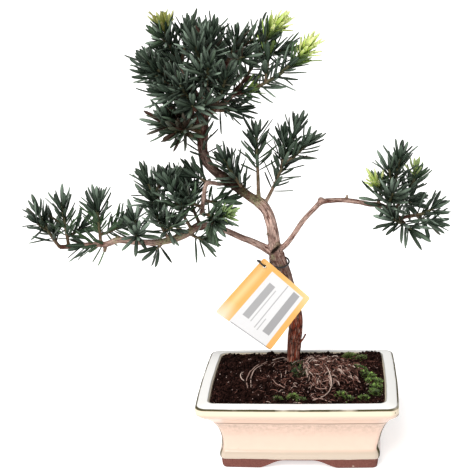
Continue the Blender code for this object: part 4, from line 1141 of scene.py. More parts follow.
def plain_finish(name, tint, low, high, scale):
    """A moulded or coated surface with a fine sheen that varies a little."""
    brush = new_finish(name)
    cloud = brush.cloud(brush.place(), scale, 1.2)
    worn = [min(1, 1.9 * value + 0.012) for value in tint]
    rough = brush.span(cloud, 0, 1, low, high)
    return brush.shade(brush.over(tint, (cloud, worn, 0.5)), rough, {"Normal": brush.bump(cloud, 0.15, 0.1)})


def corner_at(inset):
    """The radius of an outline's corners, this far in from the rim's edge."""
    return max(POT_CORNER - 0.22 * inset, 3.0)


def corner_turns(quarter):
    """The angles of the points round one corner of an outline, in degrees."""
    return [90 * quarter + 90 * step / CORNER_STEPS for step in range(CORNER_STEPS + 1)]


def outline(inset, height, length, width):
    """A rounded rectangle with slightly bowed sides, this far in from the rim's edge."""
    half_x, half_y = length / 2 - inset, width / 2 - inset
    corner = corner_at(inset)
    points = []
    for quarter, (sx, sy) in enumerate(((1, 1), (-1, 1), (-1, -1), (1, -1))):
        middle = Vector((sx * (half_x - corner), sy * (half_y - corner), height))
        points += [middle + corner * level_way(math.radians(turn)) for turn in corner_turns(quarter)]
        start = points[-1]
        way, out, reach = Vector((0, -sy, 0)), Vector((sx, 0, 0)), half_y - corner
        if sx * sy > 0:
            way, out, reach = Vector((-sx, 0, 0)), Vector((0, sy, 0)), half_x - corner
        for step in range(1, SIDE_STEPS):
            share = step / SIDE_STEPS
            points.append(start + way * 2 * reach * share + out * POT_BOW * (1 - (2 * share - 1) ** 2))
    return points


def corner_edges():
    """How near each point of an outline is to where a rounded corner meets an end wall, from 0 to 1."""
    edges = []
    for quarter in range(4):
        from_end = [min(turn % 180, 180 - turn % 180) for turn in corner_turns(quarter)]
        edges += [max(0.0, 1.0 - abs(angle - WORN_ANGLE) / WORN_REACH) for angle in from_end]
        edges += [0.0] * (SIDE_STEPS - 1)
    return edges


def soften(profile, rounds):
    """Rounds the corners of an open profile by cutting them, its ends kept."""
    profile = [Vector(p) for p in profile]
    for _ in range(rounds):
        cut = [profile[0]]
        for a, b in zip(profile, profile[1:]):
            cut += [a.lerp(b, 0.25), a.lerp(b, 0.75)]
        profile = [*cut, profile[-1]]
    return profile


def arch_cutter(widths, lengthways, reach):
    """A prism under the pot whose top is the arch between two feet."""
    low, high = widths
    shares = [step / ARCH_STEPS for step in range(ARCH_STEPS + 1)]
    rise = [(low + (high - low) * s, ARCH_TOP * (1 - math.cos(math.pi * s)) / 2) for s in shares]
    side = [(low, BELOW), *rise]
    section = [*[(-w, z) for w, z in side], *side[::-1]]
    points = [(end, w, z) if lengthways else (w, end, z) for end in (-reach, reach) for w, z in section]
    return add_object("arch", points, rings_to_faces(2, len(section)))


def make_pot(settings):
    """The glazed body, rim and clay feet, in one piece with its drain holes."""
    length, width = settings.length / MM, settings.width / MM
    outside, inside = soften(POT_OUTSIDE, 2), soften(POT_INSIDE, 2)[::-1]
    insets, points = [], []
    for wall, leaning in ((outside, True), (inside, False)):
        for height, inset in wall:
            lean = Vector((float(np.interp(height, *zip(*POT_LEAN))) * leaning, 0, 0))
            ring = [p + lean for p in outline(inset, height, length, width)]
            insets += [inset] * len(ring)
            points += ring
    rings = len(outside) + len(inside)
    pot = add_object("glazed_pot", points, rings_to_faces(rings, len(ring)), glaze_finish(settings))
    paint_points(pot, "inset", insets)
    paint_points(pot, "corner", corner_edges() * rings)
    turn_outwards(pot)
    low, high = (outline(*place, length, width) for place in zip(HOLLOW_INSET, (BELOW, ARCH_TOP)))
    cutters = [add_object("hollow", [*low, *high], rings_to_faces(2, len(low)))]
    cutters += [arch_cutter(FRONT_ARCH, False, length), arch_cutter(SIDE_ARCH, True, length)]
    for x in DRAIN_PLACES:
        bore = tube([(x, 0, 4.0), (x, 0, FLOOR_TOP + 2.0)], [DRAIN_RADIUS] * 2, 32)
        cutters.append(add_object("drain", *bore))
    cut_away(pot, cutters)
    places = places_of(pot)
    dent = 0.3 * np.abs(noise_at(places, 0.035, 5.0)) * (places[:, 2] > 1.0)
    places[:, :2] -= np.sign(places[:, :2]) * dent[:, None]
    move_points(pot, places)
    pot.data.shade_smooth()
    pot.data.set_sharp_from_angle(angle=SHARP_ANGLE)
    return settle(pot, "glaze", "pot")


def wall_inset(height):
    """How far in from the rim's edge the pot's inner wall stands at a height."""
    return float(np.interp(height, [z for z, _ in POT_INSIDE], [inset for _, inset in POT_INSIDE]))


def rounded_place(u, v, half_x, half_y, corner, bow):
    """Places in a rounded rectangle with bowed sides, for u and v from -1 to 1."""
    x, y = np.abs(u) * half_x, np.abs(v) * half_y
    past_x, past_y = x - (half_x - corner), y - (half_y - corner)
    both = (past_x > 0) & (past_y > 0)
    shrink = np.where(both, np.maximum(past_x, past_y) / np.maximum(np.hypot(past_x, past_y), 1e-9), 1.0)
    x = np.where(both, half_x - corner + past_x * shrink, x)
    y = np.where(both, half_y - corner + past_y * shrink, y)
    x, y = x + bow * np.abs(u) ** 3 * (1 - v * v), y + bow * np.abs(v) ** 3 * (1 - u * u)
    return np.sign(u) * x, np.sign(v) * y


def grid_of(across, deep):
    """u and v of a grid's points, its faces, and the points round its border in order."""
    u, v = np.meshgrid(np.linspace(-1, 1, across), np.linspace(-1, 1, deep))
    top = (deep - 1) * across
    starts = [row + i for row in range(0, top, across) for i in range(across - 1)]
    faces = [(start, start + 1, start + 1 + across, start + across) for start in starts]
    border = [*range(across), *[row * across + across - 1 for row in range(1, deep)]]
    border += [*range(top + across - 2, top - 1, -1), *[row * across for row in range(deep - 2, 0, -1)]]
    return u.ravel(), v.ravel(), faces, border


def soil_height(x, y):
    """How high the soil stands: the level at the wall, its rises and its clods."""
    height = SOIL_LEVEL + MOUND_HEIGHT * bell(x, y, MOUND_PLACE, MOUND_REACH)
    height = height + HEAP_HEIGHT * bell(x, y, HEAP_PLACE, (HEAP_REACH, HEAP_REACH))
    height = height + REAR_RISE * np.clip((y - REAR_FROM) / REAR_REACH, 0.0, 1.0) ** 2
    near_mat = bell(x, y, MAT_PLACE, [1.3 * r for r in MAT_REACH]) ** 2
    flat = np.stack([x / CLOD_SIZE, y / CLOD_SIZE, np.full_like(x, 3.7)], 1)
    return height + CLOD_HEIGHT * (1 - np.minimum(1.0, 1.6 * near_mat)) * noise_at(flat, 1.0)


def crumbly(x, y):
    """The soil's height with its fine crumbs."""
    flat = np.stack([x, y, np.zeros_like(x)], 1)
    lumps = sum(height * noise_at(flat, scale, seed) for height, scale, seed in CRUMBLING)
    return soil_height(x, y) + lumps - 0.4


def mat_share(x, y):
    """How far out in the root mat a place is: 0 in its middle and 1 at its edge."""
    return math.hypot((x - MAT_PLACE[0]) / MAT_REACH[0], (y - MAT_PLACE[1]) / MAT_REACH[1])


def ground(x, y):
    """The height of the soil, or of the root mat where it lies, at one place."""
    height = soil_height(np.array([x], float), np.array([y], float))[0]
    share = mat_share(x, y)
    return height + MAT_GAP + MAT_EDGE + MAT_HEIGHT * (1 - share ** 2) if share < 1.0 else height


def make_soil(settings, pot):
    """The body of soil, with a rough top that meets the pot's wall."""
    half_x, half_y = pot.length / MM / 2, pot.width / MM / 2
    u, v, faces, border = grid_of(*SOIL_GRID)

    def at_inset(inset, u, v):
        return rounded_place(u, v, half_x - inset, half_y - inset, corner_at(inset), POT_BOW)

    x, y = at_inset(wall_inset(SOIL_LEVEL) + 0.1, u, v)
    points = [np.stack([x, y, crumbly(x, y)], 1)]
    size, upper = len(border), border
    for level, z in enumerate(SOIL_RINGS):
        x, y = at_inset(wall_inset(z) + 0.3, u[border], v[border])
        points.append(np.stack([x, y, np.full_like(x, z)], 1))
        lower = range(len(u) + level * size, len(u) + (level + 1) * size)
        faces += bridge(upper, lower)
        upper = lower
    faces.append(tuple(reversed(upper)))
    soil = add_object("soil_bed", np.concatenate(points), faces, soil_finish(settings))
    turn_outwards(soil)
    paint_points(soil, "tone", np.full(len(soil.data.vertices), 0.3))
    soil.data.shade_smooth()
    return settle(soil, "soil", "soil")


def ball(levels):
    """Points and faces of a round pebble to be dented."""
    mesh = bmesh.new()
    bmesh.ops.create_icosphere(mesh, subdivisions=levels, radius=1.0)
    points = np.array([v.co for v in mesh.verts])
    faces = [tuple(v.index for v in face.verts) for face in mesh.faces]
    mesh.free()
    return points, faces


def within_pot(x, y):
    return abs(x) < INSIDE_POT[0] and abs(y) < INSIDE_POT[1] and abs(x) + abs(y) < INSIDE_POT[2]


def make_crumbs(settings):
    """Loose crumbs and pale bits that lie on the soil."""
    draw = random.Random("crumbs")
    shape, shape_faces = ball(1)
    pile = Pile()
    while len(pile.points) < settings.crumbs + settings.pale_bits:
        x, y = (draw.uniform(-far, far) for far in CRUMB_REACH)
        if not within_pot(x, y) or (mat_share(x, y) < 0.9 and draw.random() < 0.85):
            continue
        pale = len(pile.points) >= settings.crumbs
        if pale and draw.random() > 0.15 + 0.85 * bell(x, y, LITTER_PLACE, LITTER_REACH):
            continue
        big = draw.random() ** 3
        radius = draw.uniform(0.35, 0.8) if pale else 0.5 + 1.7 * big
        stretch = np.array([draw.uniform(0.6, 1.5), draw.uniform(0.5, 1.1), draw.uniform(0.35, 0.8)])
        turn = np.array(Euler([draw.uniform(0, 6.3) for _ in range(3)]).to_matrix())
        dents = np.array([[draw.uniform(0.75, 1.2)] for _ in shape])
        centre = np.array((x, y, ground(x, y) + 0.35 * radius))
        tone = draw.uniform(0.74, 1.0) if pale else 0.68 * draw.random() ** 2.2
        pile.add(centre + (shape * dents * stretch * radius) @ turn.T, shape_faces, tone=tone)
    return settle(pile.piece("soil_crumbs", bpy.data.materials["Potting Soil"]), "soil")


def strand_path(draw, start, heading, length, steps, lift):
    """A fine root that wanders over the ground, in x, y and z."""
    x, y = start
    path = []
    for step in range(steps + 1):
        rise = lift * math.sin(math.pi * step / steps)
        path.append(Vector((x, y, ground(x, y) + rise)))
        heading += draw.gauss(0.0, 0.22)
        x += math.cos(heading) * length / steps
        y += math.sin(heading) * length / steps
        x, y = (max(-far, min(far, value)) for far, value in zip(STRAND_REACH, (x, y)))
    return path


def add_strands(name, strands, finish):
    """Thin tapered tubes in one piece, each of a path, a radius and a tone, with its own grain."""
    pile = Pile()
    for number, (path, radius, tone) in enumerate(strands):
        shares = [i / (len(path) - 1) for i in range(len(path))]
        taper = [radius * (0.45 + 0.55 * math.sin(math.pi * (0.08 + 0.84 * share))) for share in shares]
        points, faces = tube(path, taper, STRAND_SIDES)
        rows = range(len(points))
        grain = [(7.0 * number + i % STRAND_SIDES * 0.3, 0.0, 1.5 * (i // STRAND_SIDES)) for i in rows]
        pile.add(points, faces, tone=tone, grain=grain)
    piece = pile.piece(name, finish)
    piece.data.shade_smooth()
    return piece


def make_roots(settings):
    """The tangled mat of dry fine roots to the right of the trunk."""
    draw, strands = random.Random("root mat"), []
    for _ in range(settings.strands):
        angle, share = draw.uniform(0, 2 * math.pi), math.sqrt(draw.random())
        x = MAT_PLACE[0] + MAT_REACH[0] * 0.95 * share * math.cos(angle) - 3.0
        y = MAT_PLACE[1] + MAT_REACH[1] * 1.1 * share * math.sin(angle) + 6.0
        heading = math.atan2(y - 22.0, x + 6.0) + draw.gauss(-0.15, 1.0)
        length = draw.uniform(3.5, 12.0)
        path = strand_path(draw, (x, y), heading, length, 8, draw.uniform(-0.3, 2.6))
        radius = draw.uniform(0.24, 0.5)
        tone = draw.uniform(0.76, 1.0) if draw.random() < 0.2 else 0.72 * draw.random() ** 1.7
        strands.append((path, radius, tone))
    return settle(add_strands("fine_roots", strands, root_finish(settings)), "root", "root_mat")


def make_pale_roots():
    """A few bare roots that arch over the soil, and small curls among the crumbs."""
    draw, strands = random.Random("pale roots"), []
    for arch in ROOT_ARCHES:
        rise = draw.uniform(0.8, 2.2)
        flat = smooth_path([(*spot, 0.0) for spot in arch], 5)
        heights = [rise * math.sin(math.pi * i / (len(flat) - 1)) + 0.1 for i in range(len(flat))]
        path = [Vector((p.x, p.y, ground(p.x, p.y) + height)) for p, height in zip(flat, heights)]
        strands.append((path, draw.uniform(0.38, 0.55), draw.uniform(0.78, 1.0)))
    while len(strands) < LOOSE_ROOTS:
        x, y = (draw.gauss(place, 0.62 * reach) for place, reach in zip(LITTER_PLACE, LITTER_REACH))
        if within_pot(x, y):
            heading, length, rise = draw.uniform(0, 6.3), draw.uniform(3.0, 9.0), draw.uniform(0.3, 1.4)
            path = strand_path(draw, (x, y), heading, length, 6, rise)
            strands.append((path, draw.uniform(0.2, 0.36), draw.choice(LOOSE_TONES)))
    return settle(add_strands("pale_roots", strands, bpy.data.materials["Dry Roots"]), "root")


def make_moss(settings):
    """Cushions of tiny leaflets on the soil."""
    draw = random.Random("moss")
    leaflet = settings.leaflet / MM
    pile = Pile()
    for (place_x, place_y), reach, height, brightness, dryness in MOSS:
        for _ in range(int(MOSS_DENSITY * reach * reach)):
            angle, share = draw.uniform(0, 2 * math.pi), math.sqrt(draw.random()) ** 0.9
            x, y = place_x + reach * share * math.cos(angle), place_y + reach * share * math.sin(angle)
            if not within_pot(x, y) or draw.random() < share ** 4 * 0.7:
                continue
            tuft = 0.5 + 0.5 * noise.noise(Vector((x, y, 0.0)) * 0.4)
            foot = Vector((x, y, ground(x, y) - 0.3 + height * (1 - share ** 2) * tuft * 1.6))
            away = 0.3 + share
            lean = Vector((math.cos(angle) * away, math.sin(angle) * away, draw.uniform(0.3, 1.2)))
            lean = (lean + Vector([draw.uniform(-0.6, 0.6) for _ in range(3)])).normalized()
            across = level_of(lean) * leaflet * draw.uniform(0.16, 0.28)
            keel = lean.cross(across).normalized() * 0.12
            length = leaflet * draw.uniform(0.7, 1.3)
            middle, tip = foot + lean * length * 0.5, foot + lean * length
            sides = [middle + across + keel, middle - across + keel]
            shine = brightness * (0.25 + 1.25 * draw.random() ** 2) * (0.02 + 1.75 * tuft ** 2.4)
            bright, dry = min(1.0, max(0.0, shine)), dryness * draw.random()
            points = np.array([foot, *sides, tip, middle - keel, middle + keel * 0.3])
            pile.add(points, LEAFLET_FACES, bright=bright, dry=dry)
    return settle(pile.piece("moss_cushions", moss_finish(settings), outwards=True), "leaf")


def limb_path(name):
    """A limb's path as the part holds it, from which its sprays start."""
    return smooth_path(LIMBS[name], 2 if name == "trunk" else 1)


def stem_path(start, tip, steps=9):
    """A stem that leaves level and turns up towards its tip."""
    length = (tip - start).length
    middle = start.lerp(tip, 0.5) - Vector((0, 0, STEM_SAG * length))
    shares = [step / steps for step in range(steps + 1)]
    return [(1 - t) ** 2 * start + 2 * t * (1 - t) * middle + t * t * tip for t in shares]


def spray_paths():
    """Each spray's stems: its own from the limb, then those that branch from it."""
    paths = {}
    for name, limb, share, tip, _ in SPRAYS:
        paths[name] = [stem_path(along(limb_path(limb), share)[0], Vector(tip))]
    for name, share, tip in SIDE_STEMS:
        paths[name].append(stem_path(along(paths[name][0], share)[0], Vector(tip)))
    return paths


def spray_starts(paths):
    """Where along its stem each spray starts: past its limb's bark, and past the bare stretch."""
    starts = {}
    for name, limb, share, _, bare in SPRAYS:
        thick = LIMB_CLEAR[limb] if share < 1.0 else END_CLEAR
        starts[name] = min(MOST_BARE, max(bare, thick / path_length(paths[name][0])))
    return starts


def cut_path(path, start, end):
    """The part of a path between two shares of its length."""
    length = path_length(path)
    kept = [along(path, start)[0]]
    run = 0.0
    for a, b in zip(path, path[1:]):
        run += (b - a).length
        if start * length + 0.4 < run < end * length - 0.4:
            kept.append(b)
    return [*kept, along(path, end)[0]]


def wood_pieces(paths, starts):
    """Path and radii of every limb and twig."""
    for name, stations in LIMBS.items():
        path = smooth_path(stations, 6)
        yield [p.to_3d() for p in path], [max(0.7, p[3]) for p in path]
    for name in starts:
        twig = cut_path(paths[name][0], 0.0, min(1.0, starts[name] + 0.04))
        last = len(twig) - 1
        yield twig, [1.75 - 0.3 * i / last for i in range(last + 1)]
    for foot, tip, radius in STUBS:
        yield [Vector(foot), Vector(tip)], [radius, radius * 0.75]


def grain_samples(pieces):
    """Rows along the wood, one each millimetre or so: place, three ways, run, radius and number."""
    rows = []
    for number, (path, radii) in enumerate(pieces):
        run = 0.0
        frames = list(frames_along(path))
        for here, (after, *_), r0, r1 in zip(frames, frames[1:], radii, radii[1:]):
            gap = (after - here[0]).length
            steps = max(1, round(gap / SAMPLE_STEP))
            for share in (step / steps for step in range(steps)):
                spot, thick = here[0].lerp(after, share), r0 + (r1 - r0) * share
                ways = [value for way in here[1:] for value in way]
                rows.append((*spot, *ways, run + gap * share, thick, number))
            run += gap
    return np.array(rows)


def nearest_samples(points, samples):
    """For each point, the sample whose bark it is nearest to."""
    tree = KDTree(len(samples))
    for i, row in enumerate(samples):
        tree.insert(row[:3], i)
    tree.balance()
    chosen = np.empty(len(points), int)
    for i, point in enumerate(points):
        found = tree.find_n(point, 6)
        chosen[i] = min(found, key=lambda hit: hit[2] - samples[hit[1]][13])[1]
    return chosen


def wood_mesh(settings, pieces):
    """Trunk, limbs, twigs and knuckles, grown together into one skin."""
    pile = Pile()
    for path, radii in pieces:
        pile.add(*tube(path, radii, LIMB_SIDES))
    shape, shape_faces = ball(3)
    for place, radius in KNUCKLES:
        pile.add(np.array(place) + shape * radius, shape_faces)
    wood = pile.piece("barked_wood")
    melt = wood.modifiers.new("Grow together", "REMESH")
    melt.mode = "VOXEL"
    melt.voxel_size = settings.detail
    smooth = wood.modifiers.new("Smooth", "SMOOTH")
    smooth.factor = 0.5
    smooth.iterations = 5
    baked(wood)
    return wood


def make_wood(settings, paths, starts):
    """The wood with flaking bark in relief."""
    pieces = list(wood_pieces(paths, starts))
    wood = wood_mesh(settings, pieces)
    wood.data.materials.append(bark_finish(settings))
    places = places_of(wood)
    samples = grain_samples(pieces)
    near = samples[nearest_samples(places, samples)]
    middle, ahead, across, beside = (near[:, i:i + 3] for i in (0, 3, 6, 9))
    run, thick, number = near[:, 12:].T
    away = places - middle
    side, over = ((away * way).sum(axis=1) for way in (across, beside))
    grain = np.stack([side + number * 17.0, over, run], 1)
    away -= ahead * (away * ahead).sum(axis=1)[:, None]
    away /= np.maximum(np.linalg.norm(away, axis=1), 0.3)[:, None]
    swell = noise_at(grain * (0.25, 0.25, 0.09), 1.0)
    flakes = noise_at(grain * (0.55, 0.55, 0.09), 1.0, 13.0)
    splits = np.clip(0.5 - np.abs(noise_at(grain * (0.8, 0.8, 0.13), 1.0, 27.0)) * 2.2, 0.0, 1.0)
    strong = np.clip(thick / 4.5, 0.25, 1.0)
    lichen = np.max([1.6 - 1.6 * far_from(places, place) / reach for place, reach in LICHEN], axis=0)
    lichen = np.clip(lichen, 0.0, 1.0)
    relief = settings.relief / MM * strong * (0.8 * swell + 0.5 * flakes - 0.6 * splits)
    crust = 0.3 * lichen * np.clip(noise_at(places, 0.5, 3.0) * 3.0, 0.0, 1.0)
    places += away * (relief + crust)[:, None]
    move_points(wood, places)
    layers = {
        "grain": grain,
        "lichen": lichen,
        # Painted light: the listed pale tone is kept whole where the bark faces the front and halved where
        # it faces the back.
        "pale_tone_and_front_light": blush_at(places) * (0.5 + 0.5 * np.clip(0.3 - away[:, 1], 0.0, 1.0)),
        "bark_shade": bark_shade_at(places),
        "green": np.clip((2.1 - thick) / 0.6, 0.0, 1.0) * (number >= len(LIMBS)) * 0.5,
    }
    for name, values in layers.items():
        paint_points(wood, name, values)
    wood.data.shade_smooth()
    return settle(wood, "bark", "trunk_and_limbs")


def blush_at(places):
    """How pale the bark is at each place, drawn from the listed places nearby."""
    pulls = [1.0 / (far_from(places, place) + 2.0) ** 4 for place, _ in BARK_TONES]
    return sum(pull * tone for pull, (_, tone) in zip(pulls, BARK_TONES)) / sum(pulls)


def bark_shade_at(places):
    """Painted shade on the bark: in the gap at the fork where the limbs part, and among the leaves."""
    x, y, z = (places - np.array((-16.8, -3.0, 183.6))).T
    ragged = 0.35 * noise_at(places, 0.9, 5.0)
    distance = np.sqrt(((x + z) / 6.6) ** 2 + ((z - x) / 2.5) ** 2 + (y / 7.0) ** 2) + ragged
    dark = [np.clip(2.2 - 1.6 * distance, 0.0, 0.98)]
    for place, reach, strength in SHADED_BARK:
        dark.append(strength * np.clip(1.5 - far_from(places, place) / reach + ragged, 0.0, 1.0))
    return np.max(dark, axis=0)


class Room:
    """Keeps the lines of the leaves grown so far, and says how much room a new one has."""

    def __init__(self, samples):
        self.wood = samples[:, :3]
        self.thick = samples[:, 13] + BARK_CLEAR
        self.low = np.array(CAD_BOX[0]) / MM - POT_PLACE + BOX_CLEAR
        self.high = np.array(CAD_BOX[1]) / MM - POT_PLACE - BOX_CLEAR
        self.taken = np.empty((0, 3))

    def look_near(self, path):
        """Keeps in sight only what a leaf on this stem could touch."""
        low = np.min(path, axis=0) - REACH
        high = np.max(path, axis=0) + REACH
        near, taken = (((all_of > low) & (all_of < high)).all(axis=1) for all_of in (self.wood, self.taken))
        self.near_wood, self.near_thick, self.near = self.wood[near], self.thick[near], self.taken[taken]

    def around(self, line):
        if (line < self.low).any() or (line > self.high).any():
            return -1.0
        outer = line[1:]
        room = (np.linalg.norm(outer[:, None] - self.near_wood, axis=2) - self.near_thick).min(initial=9.0)
        return min(room, np.linalg.norm(line[:, None] - self.near, axis=2).min(initial=9.0))

    def take(self, line):
        self.taken = np.concatenate([self.taken, line])
        self.near = np.concatenate([self.near, line])


def leaf_line(root, ahead, face, length, bend, shares):
    """Points on a leaf's middle line."""
    shares = np.array(shares)[:, None]
    return np.array(root) + np.array(ahead) * length * shares - np.array(face) * bend * length * shares ** 2


def leaf_points(root, ahead, face, length, width, bend, sway, twist):
    """The points of a strap leaf, ring by ring from its foot to its blunt tip."""
    shares, widths = np.array(LEAF_OUTLINE).T
    widths = widths * width / 2
    ahead, face = np.array(ahead), np.array(face)
    side = np.cross(ahead, face)
    line = leaf_line(root, ahead, face, length, bend, shares) + np.outer(sway * length * shares ** 2, side)
    up = face + np.outer(2 * bend * shares, ahead)
    up /= np.linalg.norm(up, axis=1)[:, None]
    turn = twist * shares[:, None]
    across = np.cos(turn) * side + np.sin(turn) * up
    up = np.cos(turn) * up - np.sin(turn) * side
    section, height = np.array(SECTION_ACROSS), np.array(SECTION_HEIGHT)
    lift = LEAF_THICK * np.minimum(1.0, widths / 0.6)[:, None] * height
    lift = lift - widths[:, None] * (0.2 * np.abs(section))
    flat = line[:, None] + across[:, None] * (widths[:, None] * section)[..., None]
    return (flat + up[:, None] * lift[..., None]).reshape(-1, 3)


class Spray(Pile):
    """One leafy piece in the making. Its leaves are of the first finish and its stems of the second."""

    def __init__(self):
        super().__init__()
        self.kinds = []

    def leaf(self, points, tone, fresh, old):
        rings, size = len(LEAF_OUTLINE), len(SECTION_ACROSS)
        blade = [(across, share, 0.0) for share, _ in LEAF_OUTLINE for across in SECTION_ACROSS]
        faces = rings_to_faces(rings, size)
        self.kinds += [0] * len(faces)
        self.add(points, faces, blade=blade, tone=tone, fresh=fresh, old=old, under=SECTION_UNDER * rings)

    def stem(self, path, radii):
        points, faces = tube(path, radii, STEM_SIDES)
        blade = [(0.0, i / (len(path) - 1), 0.0) for i in range(len(path)) for _ in range(STEM_SIDES)]
        self.kinds += [1] * len(faces)
        self.add(points, faces, blade=blade, tone=0.0, fresh=0.0, old=0.0, under=0.0)

    def finish(self, name, finishes, node):
        piece = self.piece(name, *finishes, outwards=True)
        piece.data.polygons.foreach_set("material_index", self.kinds)
        piece.data.shade_smooth()
        return settle(piece, "young_leaf" if node.startswith("young") else "leaf", node)


def freshness(name, share, draw):
    """How fresh a leaf is: its spray's listed stretch, and a little chance."""
    fresh = max(0.0, draw.gauss(0.03, 0.05))
    for spray, low, high, value in FRESH:
        if spray == name and low <= share <= high:
            fresh = max(fresh, value * draw.uniform(0.6, 1.15))
    return min(1.0, fresh)


def withered(point, draw):
    """How brown a leaf is, by where it grows."""
    near = any((point - Vector(place)).length < reach for place, reach in WITHERED)
    return draw.uniform(0.4, 1.0) if draw.random() < (0.5 if near else 0.01) else 0.0


def roomiest(draw, room, stand, turn, far, long, young):
    """Of several ways for a leaf from its stand, the first with room enough, or else the roomiest."""
    point, axis, level = stand
    best = None
    for attempt in range(TRIES):
        angle = math.radians(turn + draw.uniform(-45, 45) * (attempt > 0) + draw.uniform(-8, 8))
        spread = math.radians(SPREAD[0] + (SPREAD[1] - SPREAD[0]) * far ** 1.15 + draw.uniform(-11, 11))
        spread *= 0.72 if young else 1.0
        out = Matrix.Rotation(angle, 3, axis) @ level
        ahead = math.cos(spread) * axis + math.sin(spread) * out
        face = math.sin(spread) * axis - math.cos(spread) * out
        bend = draw.gauss(0.03, 0.06)
        line = leaf_line(point, ahead, face, long, bend, LINE_SHARES)
        free = room.around(line)
        if best is None or free > best[0]:
            best = (free, line, ahead, face, bend)
        if free > ENOUGH_ROOM:
            break
    return best


def grow(spray, name, key, path, start, settings, room, young=None):
    """Leaves round a stem. A young shoot gives their number, and how green and how ripe they are."""
    length = path_length(path) * (1 - start)
    count, green, ripe = young or (max(9, round(length / (settings.step / MM)) + 6), 0.0, 0.0)
    first = random.Random(key).uniform(0, 360)
    level = level_of(path[-1] - path[0])
    room.look_near(path)
    for i in range(count):
        draw = random.Random(f"{key} leaf {i}")
        far = (i + 0.5) / count
        share = start + (1 - start) * (0.03 + 0.97 * (1 - (1 - far) ** 1.2))
        point, axis = along(path, min(share, 0.995))
        if young:
            long, wide = draw.uniform(*YOUNG_LENGTH) * (1.0 - 0.25 * green), draw.uniform(*YOUNG_WIDTH)
        else:
            long = settings.length / MM * draw.gauss(1.0, 0.1) * (1.0 - 0.25 * max(0.0, far - 0.82) / 0.18)
            wide = settings.width / MM * draw.uniform(0.82, 1.2)
        turn = first + TURN * i
        free, line, ahead, face, bend = roomiest(draw, room, (point, axis, level), turn, far, long, young)
        if free < LEAST_ROOM:
            continue
        room.take(line)
        shape = leaf_points(point, ahead, face, long, wide, bend, draw.gauss(0, 0.03), draw.gauss(0, 0.25))
        tone = min(1.0, max(0.0, draw.gauss(0.36, 0.5)))
        if young:
            spray.leaf(shape, tone, green, ripe * draw.uniform(0.5, 1.0))
        else:
            spray.leaf(shape, tone, freshness(name, far, draw), withered(point, draw))


def stem_radii(path, start):
    """Radii that taper along a stem, knobbly with leaf scars, and close over its bud."""
    last = len(path) - 1
    foot, tip = STEM_RADII
    shares = [start + (1.0 - start) * i / last for i in range(last)]
    radii = [(foot + (tip - foot) * share) * (1.08 if i % 2 else 0.95) for i, share in enumerate(shares)]
    radii[-1] *= 0.85
    return [*radii, 0.25]


def fine_path(path, start):
    """A stem's path from its start, with points every 2 mm or so and a bud past its tip."""
    kept = cut_path(path, start, 1.0)
    count = max(4, round(path_length(kept) / STEM_POINT_STEP))
    points = [along(kept, i / count)[0] for i in range(count + 1)]
    way = (points[-1] - points[-2]).normalized()
    return [*points, *[points[-1] + way * past for past in BUD]]


def side_shoots(path, start, key):
    """Short shoots that stand off a stem, turned round it and a little upwards."""
    draw = random.Random(key)
    length = path_length(path) * (1 - start)
    count = int(length / SHOOT_STEP)
    turn = draw.uniform(0, 360)
    for i in range(count):
        share = start + (1 - start) * (0.2 + 0.6 * (i + 0.5) / count)
        point, axis = along(path, share)
        level = level_of(axis)
        out = Matrix.Rotation(math.radians(turn + TURN * i), 3, axis) @ level
        angle = math.radians(SHOOT_ANGLE + draw.uniform(-8, 8))
        way = (math.cos(angle) * axis + math.sin(angle) * out + Vector((0, 0, 0.2))).normalized()
        reach = draw.uniform(*SHOOT_LENGTH)
        yield stem_path(point, point + way * reach, 4)


def make_foliage(settings, paths, starts, samples):
    """A piece for each leafy spray and each young shoot."""
    leaf, stem = leaf_finish(settings, False), stem_finish(settings)
    young_leaf = leaf_finish(settings, True)
    room = Room(samples)
    young = {spray: (name, *rest) for name, spray, *rest in YOUNG_SHOOTS}
    for name, own_paths in paths.items():
        if name in young:
            shoot, tip, *kind = young[name]
            path = [own_paths[0][-1], Vector(tip)]
            making = Spray()
            fine = fine_path(path, 0.1)
            making.stem(fine, [0.8 * r for r in stem_radii(fine, 1.0)])
            grow(making, shoot, shoot, path, 0.1, settings, room, kind)
            making.finish(f"shoot_{shoot}", (young_leaf, stem), shoot)
        making = Spray()
        for number, path in enumerate(own_paths):
            start = starts[name] if number == 0 else 0.0
            fine = fine_path(path, start)
            making.stem(fine, stem_radii(fine, start))
            grow(making, name, f"{name} {number}", path, start if number == 0 else 0.2, settings, room)
            shoots = side_shoots(path, start, f"{name} {number} shoots") if name in SHOOTY else ()
            for i, shoot in enumerate(shoots):
                making.stem(shoot, [0.9, 0.9, 0.85, 0.8, 0.3])
                grow(making, name, f"{name} {number} shoot {i}", shoot, 0.25, settings, room)
        for spray, limb, low, high in LEAFY_LIMBS:
            if spray == name:
                limb_line = [p.to_3d() for p in smooth_path(LIMBS[limb], 6)]
                grow(making, name, f"{name} limb", cut_path(limb_line, low, high), 0.0, settings, room)
        making.finish(f"leaves_{name}", (leaf, stem), name)


def tag_frame():
    """The tag's own axes: along its long side, along its short side, and out of its face."""
    turn = Matrix.Rotation(math.radians(TAG_TURN), 3, "Z") @ Matrix.Rotation(math.radians(TAG_LEAN), 3, "X")
    tilt = math.radians(TAG_TILT)
    down_left = turn @ Vector((-math.sin(tilt), 0, -math.cos(tilt)))
    down_right = turn @ Vector((math.cos(tilt), 0, -math.sin(tilt)))
    return np.array(down_left), np.array(down_right), np.array(turn @ Vector((0, -1, 0)))


def card_flare(place, side):
    """How much longer the card is one way, by the place along the other."""
    share = place / TAG_SIZE[1 - side]
    return 1 + TAG_FLARE[side] / TAG_SIZE[side] * (1 - share if side == 0 else share)


